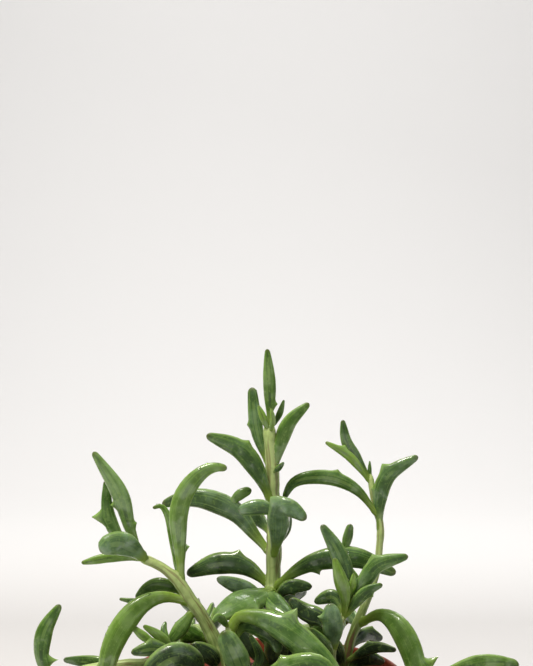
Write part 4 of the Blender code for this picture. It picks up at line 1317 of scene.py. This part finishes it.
@dataclass
class Foliage:
    """All the leafy stems, and the dew on those in front."""

    dew_on: tuple[str, ...] = ("centre_shoot", "front_shoot", "left_shoot", "young_shoot")
    seed_gap: int = 11

    def stems(self) -> list[LeafyStem]:
        """Lists the leafy stems.

        Returns:
            Each stem with its leaves.
        """
        made = [LeafyStem(name, *shoot) for name, shoot in SHOOTS.items()]
        for name, stem in BACK_TRAILERS.items():
            trailer = LeafyStem(name, stem, points=Points.PLAIN)
            trailer.leaves = TrailingSpray().leaves(trailer.line())
            made.append(trailer)
        return made

    def build(self) -> None:
        """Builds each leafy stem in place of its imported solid, and then the dew."""
        sweep = StemSweep()
        wet = []
        for number, leafy in enumerate(self.stems()):
            made = leafy.build(sweep, self.seed_gap * number)
            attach(made, BODY)
            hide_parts(leafy.name)
            if leafy.name in self.dew_on:
                wet.append(made)
            log.info("%s: %d leaves, %d faces", leafy.name, len(leafy.leaves), len(made.data.polygons))
        self.dew(wet)

    @staticmethod
    def dew(wet: Sequence[bpy.types.Object]) -> None:
        """Beads water on the upper sides of some leaves.

        Args:
            wet: the leafy stems that it lies on.
        """
        edit = bmesh.new()
        for made in wet:
            edit.from_mesh(made.data)
        under = bpy.data.meshes.new("wet_leaves")
        edit.to_mesh(under)
        edit.free()
        beads = Scatter().run("dew", add_object("wet_leaves", under), {
            "Density": 260000.0, "Apart": 1.2 * MM, "Smallest": 0.2 * MM, "Largest": 0.62 * MM,
            "Flatness": 0.62, "Roughness": 0.3, "Level": 88 * MM, "Patchiness": 0.55, "Patch Size": 14 * MM,
            "Detail": 2, "Seed": 4, "Material": WATER.material(),
        })
        beads.data.shade_smooth()
        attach(beads, BODY)
        log.info("dew: %d faces", len(beads.data.polygons))


@dataclass
class Pot:
    """The round, tapered pot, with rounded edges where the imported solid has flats."""

    wall: float = 1.8
    rim_band: float = 9.0
    rim_step: float = 2.4
    base_radius: float = 36.0
    edge: float = 0.6
    inner_corner: float = 2.0
    outer_corner: float = 1.2
    corner_inset: float = 1.0
    base_inset: float = 3.0
    base_ring: float = 4.0
    segments: int = 144
    drain_holes: int = 6
    drain_radius: float = 3.0
    drain_circle: float = 24.0
    drain_segments: int = 28
    drain_margin: float = 2.0
    crease_angle: float = 35.0
    height: float = field(init=False)
    rim_radius: float = field(init=False)

    def __post_init__(self) -> None:
        """Takes the pot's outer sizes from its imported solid."""
        low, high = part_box("pot")
        self.height = (high.z - low.z) / MM
        self.rim_radius = (high.x - low.x) / 2 / MM

    def inner_radius(self, height: float) -> float:
        """Radius of the pot's inside at a height, both in millimetres."""
        slope = (self.rim_radius - self.rim_step - self.base_radius) / (self.height - self.rim_band)
        return self.base_radius - self.wall + slope * height

    @staticmethod
    def arc(centre: tuple[float, float], radius: float, start: float, end: float,
            steps: int = 5) -> list[tuple[float, float]]:
        """Points of an arc in the profile.

        Args:
            centre: the arc's middle, as radius and height.
            radius: the arc's radius.
            start: where it starts, in degrees from straight out.
            end: where it ends.
            steps: how many pieces it has.

        Returns:
            The points.
        """
        turns = [math.radians(start + (end - start) * i / steps) for i in range(steps + 1)]
        return [(centre[0] + radius * math.cos(t), centre[1] + radius * math.sin(t)) for t in turns]

    def profile(self) -> list[tuple[float, float]]:
        """The pot's section, from the middle of its floor round to the middle of its base.

        Returns:
            Points as radius and height.
        """
        band, lip, e = self.height - self.rim_band, self.rim_radius - self.wall, self.edge
        thick, inner, outer = self.wall / 2, self.inner_corner, self.outer_corner
        floor = self.inner_radius(self.wall) - inner
        return [
            (0, self.wall), (floor, self.wall), *self.arc((floor, self.wall + inner), inner, -90, -10),
            (self.inner_radius(band), band), (lip, band + self.rim_step),
            *self.arc((self.rim_radius - thick, self.height - thick), thick, 180, 0, 10),
            *self.arc((self.rim_radius - e, band + e), e, 0, -90), (self.rim_radius - self.rim_step, band),
            *self.arc((self.base_radius - self.corner_inset, outer), outer, 0, -90),
            (self.base_radius - self.base_inset, 0),
            *self.arc((self.base_radius - self.base_ring, 0), e, 0, 180), (0, 0.0),
        ]

    def drain(self, number: int) -> bpy.types.Mesh:
        """A round cutter for one drainage hole.

        Args:
            number: which hole it is for.

        Returns:
            The cutter.
        """
        hole, radius, angle = bmesh.new(), self.drain_radius * MM, math.tau * number / self.drain_holes
        bmesh.ops.create_cone(hole, cap_ends=True, segments=self.drain_segments, radius1=radius,
                              radius2=radius, depth=(self.wall + self.drain_margin) * MM)
        across, deep = math.cos(angle) * self.drain_circle, math.sin(angle) * self.drain_circle
        bmesh.ops.translate(hole, verts=hole.verts, vec=Vector((across, deep, self.wall / 2)) * MM)
        mesh = bpy.data.meshes.new("drain")
        hole.to_mesh(mesh)
        hole.free()
        return mesh

    def build(self) -> None:
        """Turns the pot and cuts its drainage holes."""
        mesh = bpy.data.meshes.new("pot_finish")
        points = [(radius * MM, 0.0, height * MM) for radius, height in self.profile()]
        mesh.from_pydata(points, [(i, i + 1) for i in range(len(points) - 1)], [])
        made = add_object("pot_finish", mesh)
        screw = made.modifiers.new("turn", "SCREW")
        screw.steps = screw.render_steps = self.segments
        screw.use_merge_vertices = True
        screw.merge_threshold = 0.01 * MM
        combine(made, [self.drain(number) for number in range(self.drain_holes)], Joining.CUT)
        made.data.materials.clear()
        made.data.materials.append(POT_PLASTIC.material())
        soften(made.data, self.crease_angle)
        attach(made, BODY)
        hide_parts("pot")
        log.info("pot: %d faces", len(made.data.polygons))


@dataclass
class PottingMix:
    """The potting mix: an uneven surface of peat, with crumbs, bark chips and perlite on it."""

    rings: int = 46
    segments: int = 150
    crown: float = 84.0
    settled: float = 0.8
    edge_fall: float = 4.0
    fall_curve: float = 2.6
    steady_edge: int = 8
    rough_mm: float = 1.1
    rough_size_mm: float = 6.0
    fine_mm: float = 0.45
    fine_size_mm: float = 1.7
    foot_share: float = 0.735
    crease_angle: float = 50.0
    low: float = field(init=False)
    radius: float = field(init=False)

    def __post_init__(self) -> None:
        """Takes the mix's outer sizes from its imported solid."""
        low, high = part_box("soil")
        self.low = low.z / MM
        self.radius = (high.x - low.x) / 2 / MM

    def height(self, x: float, y: float) -> float:
        """Height of the mix's surface at a place.

        Args:
            x: the place across, in millimetres.
            y: the place in depth.

        Returns:
            The height in millimetres.
        """
        share = math.hypot(x, y) / self.radius
        lumps = self.rough_mm * noise.noise(Vector((x / self.rough_size_mm, y / self.rough_size_mm, 3.0)))
        crumbs = self.fine_mm * noise.noise(Vector((x / self.fine_size_mm, y / self.fine_size_mm, 8.0)))
        fall = self.edge_fall * share**self.fall_curve
        return self.crown - self.settled - fall + (lumps + crumbs) * (1 - share**self.steady_edge)

    def build(self) -> None:
        """Builds the surface and scatters what lies on it."""
        points, faces, count = [(0.0, 0.0, self.height(0, 0))], [], self.segments
        turns = [math.tau * i / count for i in range(count)]
        for ring in range(1, self.rings + 1):
            radius = self.radius * ring / self.rings
            for x, y in ((radius * math.cos(turn), radius * math.sin(turn)) for turn in turns):
                points.append((x, y, self.height(x, y)))
        foot = self.radius * self.foot_share
        points += [(foot * math.cos(turn), foot * math.sin(turn), self.low) for turn in turns]
        for i in range(count):
            j = (i + 1) % count
            faces.append((0, 1 + i, 1 + j))
            for low in range(1, 1 + self.rings * count, count):
                faces.append((low + i, low + count + i, low + count + j, low + j))
        faces.append(tuple(1 + self.rings * count + i for i in reversed(range(count))))
        mesh = bpy.data.meshes.new("potting_mix")
        mesh.from_pydata([Vector(point) * MM for point in points], [], faces)
        mesh.materials.append(PEAT.material())
        soften(mesh, self.crease_angle)
        made = add_object("potting_mix", mesh)
        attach(made, BODY)
        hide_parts("soil")
        log.info("potting mix: %d faces", len(mesh.polygons))
        self.litter(mesh)

    def litter(self, surface: bpy.types.Mesh) -> None:
        """Scatters crumbs, bark chips and perlite over the surface.

        Args:
            surface: the mix's mesh.
        """
        kinds = {
            "mix_crumbs": (CRUMBS, 260000.0, 1.6, 0.5, 1.25, 0.75, 1.3, 0.35, 1, 2),
            "bark_chips": (BARK, 40000.0, 5.0, 1.1, 2.3, 0.35, 1.0, 0.42, 2, 5),
            "perlite_grains": (PERLITE, 30000.0, 6.0, 0.5, 1.1, 0.85, 0.9, 0.45, 2, 7),
        }
        for name, (finish, density, apart, small, large, flat, rough, patchy, detail, seed) in kinds.items():
            made = Scatter().run(name, add_object(name, surface.copy()), {
                "Density": density, "Apart": apart * MM, "Smallest": small * MM, "Largest": large * MM,
                "Flatness": flat, "Roughness": rough, "Level": 70 * MM, "Patchiness": patchy,
                "Patch Size": 9 * MM, "Detail": detail, "Seed": seed, "Material": finish.material(),
            })
            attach(made, BODY)
            log.info("%s: %d faces", name, len(made.data.polygons))


@dataclass
class Studio:
    """The paper sweep, the soft lights and the camera at the picture's viewing angle."""

    eye: tuple[float, float, float] = (0.000543, -0.576757, 0.253382)
    pitch: float = 4.152
    lens: float = 87.6
    sensor: float = 36.0
    clip: tuple[float, float] = (0.01, 20.0)
    reach: float = 3.0
    curve: float = 0.8
    curve_steps: int = 16
    back: float = 1.6
    plant: tuple[float, float, float] = (0.0, 0.0, 0.12)
    wall: tuple[float, float, float] = (0.0, 1.6, 0.8)
    air: str = "F4F5F7"
    air_strength: float = 0.13

    def camera(self) -> None:
        """Places the camera."""
        data = bpy.data.cameras.new("camera")
        data.lens, data.sensor_width, data.sensor_fit = self.lens, self.sensor, "AUTO"
        data.clip_start, data.clip_end = self.clip
        made = add_object("camera", data)
        made.location = self.eye
        made.rotation_euler = (math.radians(90 - self.pitch), 0, 0)
        bpy.context.scene.camera = made

    def sweep(self) -> None:
        """Builds the floor that curves up into the wall behind."""
        line = [(-self.reach, 0.0)]
        for i in range(self.curve_steps + 1):
            turn = math.pi / 2 * i / self.curve_steps
            deep = self.back - self.curve + self.curve * math.sin(turn)
            line.append((deep, self.curve * (1 - math.cos(turn))))
        line.append((self.back, self.reach))
        points = [(x, y, z) for y, z in line for x in (-self.reach, self.reach)]
        faces = [(2 * i, 2 * i + 1, 2 * i + 3, 2 * i + 2) for i in range(len(line) - 1)]
        mesh = bpy.data.meshes.new("paper_sweep")
        mesh.from_pydata(points, [], faces)
        mesh.materials.append(PAPER.material())
        mesh.shade_smooth()
        add_object("paper_sweep", mesh)

    def lights(self) -> None:
        """Hangs four soft square lights: place and size in metres, watts, colour and aim."""
        for name, place, size, watts, colour, aim in (
            ("key_light", (-0.3, -0.35, 1.0), 0.36, 13.5, "FFF9F2", self.plant),
            ("fill_light", (0.7, -0.8, 0.45), 0.8, 1.2, "F4F8FF", self.plant),
            ("back_light", (0.3, 0.5, 0.9), 0.5, 3.0, "FFFFFF", self.plant),
            ("wall_light", (0.0, 0.5, 0.9), 1.2, 10.5, "FFFFFF", self.wall),
        ):
            data = bpy.data.lights.new(name, "AREA")
            data.size, data.energy, data.color = size, watts, linear(colour)[:3]
            made = add_object(name, data)
            made.location = place
            made.visible_camera = False
            made.rotation_euler = (Vector(aim) - Vector(place)).to_track_quat("-Z", "Y").to_euler()

    def build(self) -> None:
        """Sets up the studio."""
        self.camera()
        self.sweep()
        self.lights()
        world = bpy.data.worlds.new("studio_air")
        world.use_nodes = True
        air = world.node_tree.nodes["Background"].inputs
        air["Color"].default_value = linear(self.air)
        air["Strength"].default_value = self.air_strength
        bpy.context.scene.world = world
        bpy.context.scene.view_settings.view_transform = "Standard"
        log.info("studio: camera, paper sweep and four soft lights")


def main() -> None:
    """Builds the studio and each part of the plant in order."""
    logging.basicConfig(level=logging.INFO, format="%(name)s %(message)s")
    Studio().build()
    Pot().build()
    PottingMix().build()
    Foliage().build()


if __name__ == "__main__":
    main()
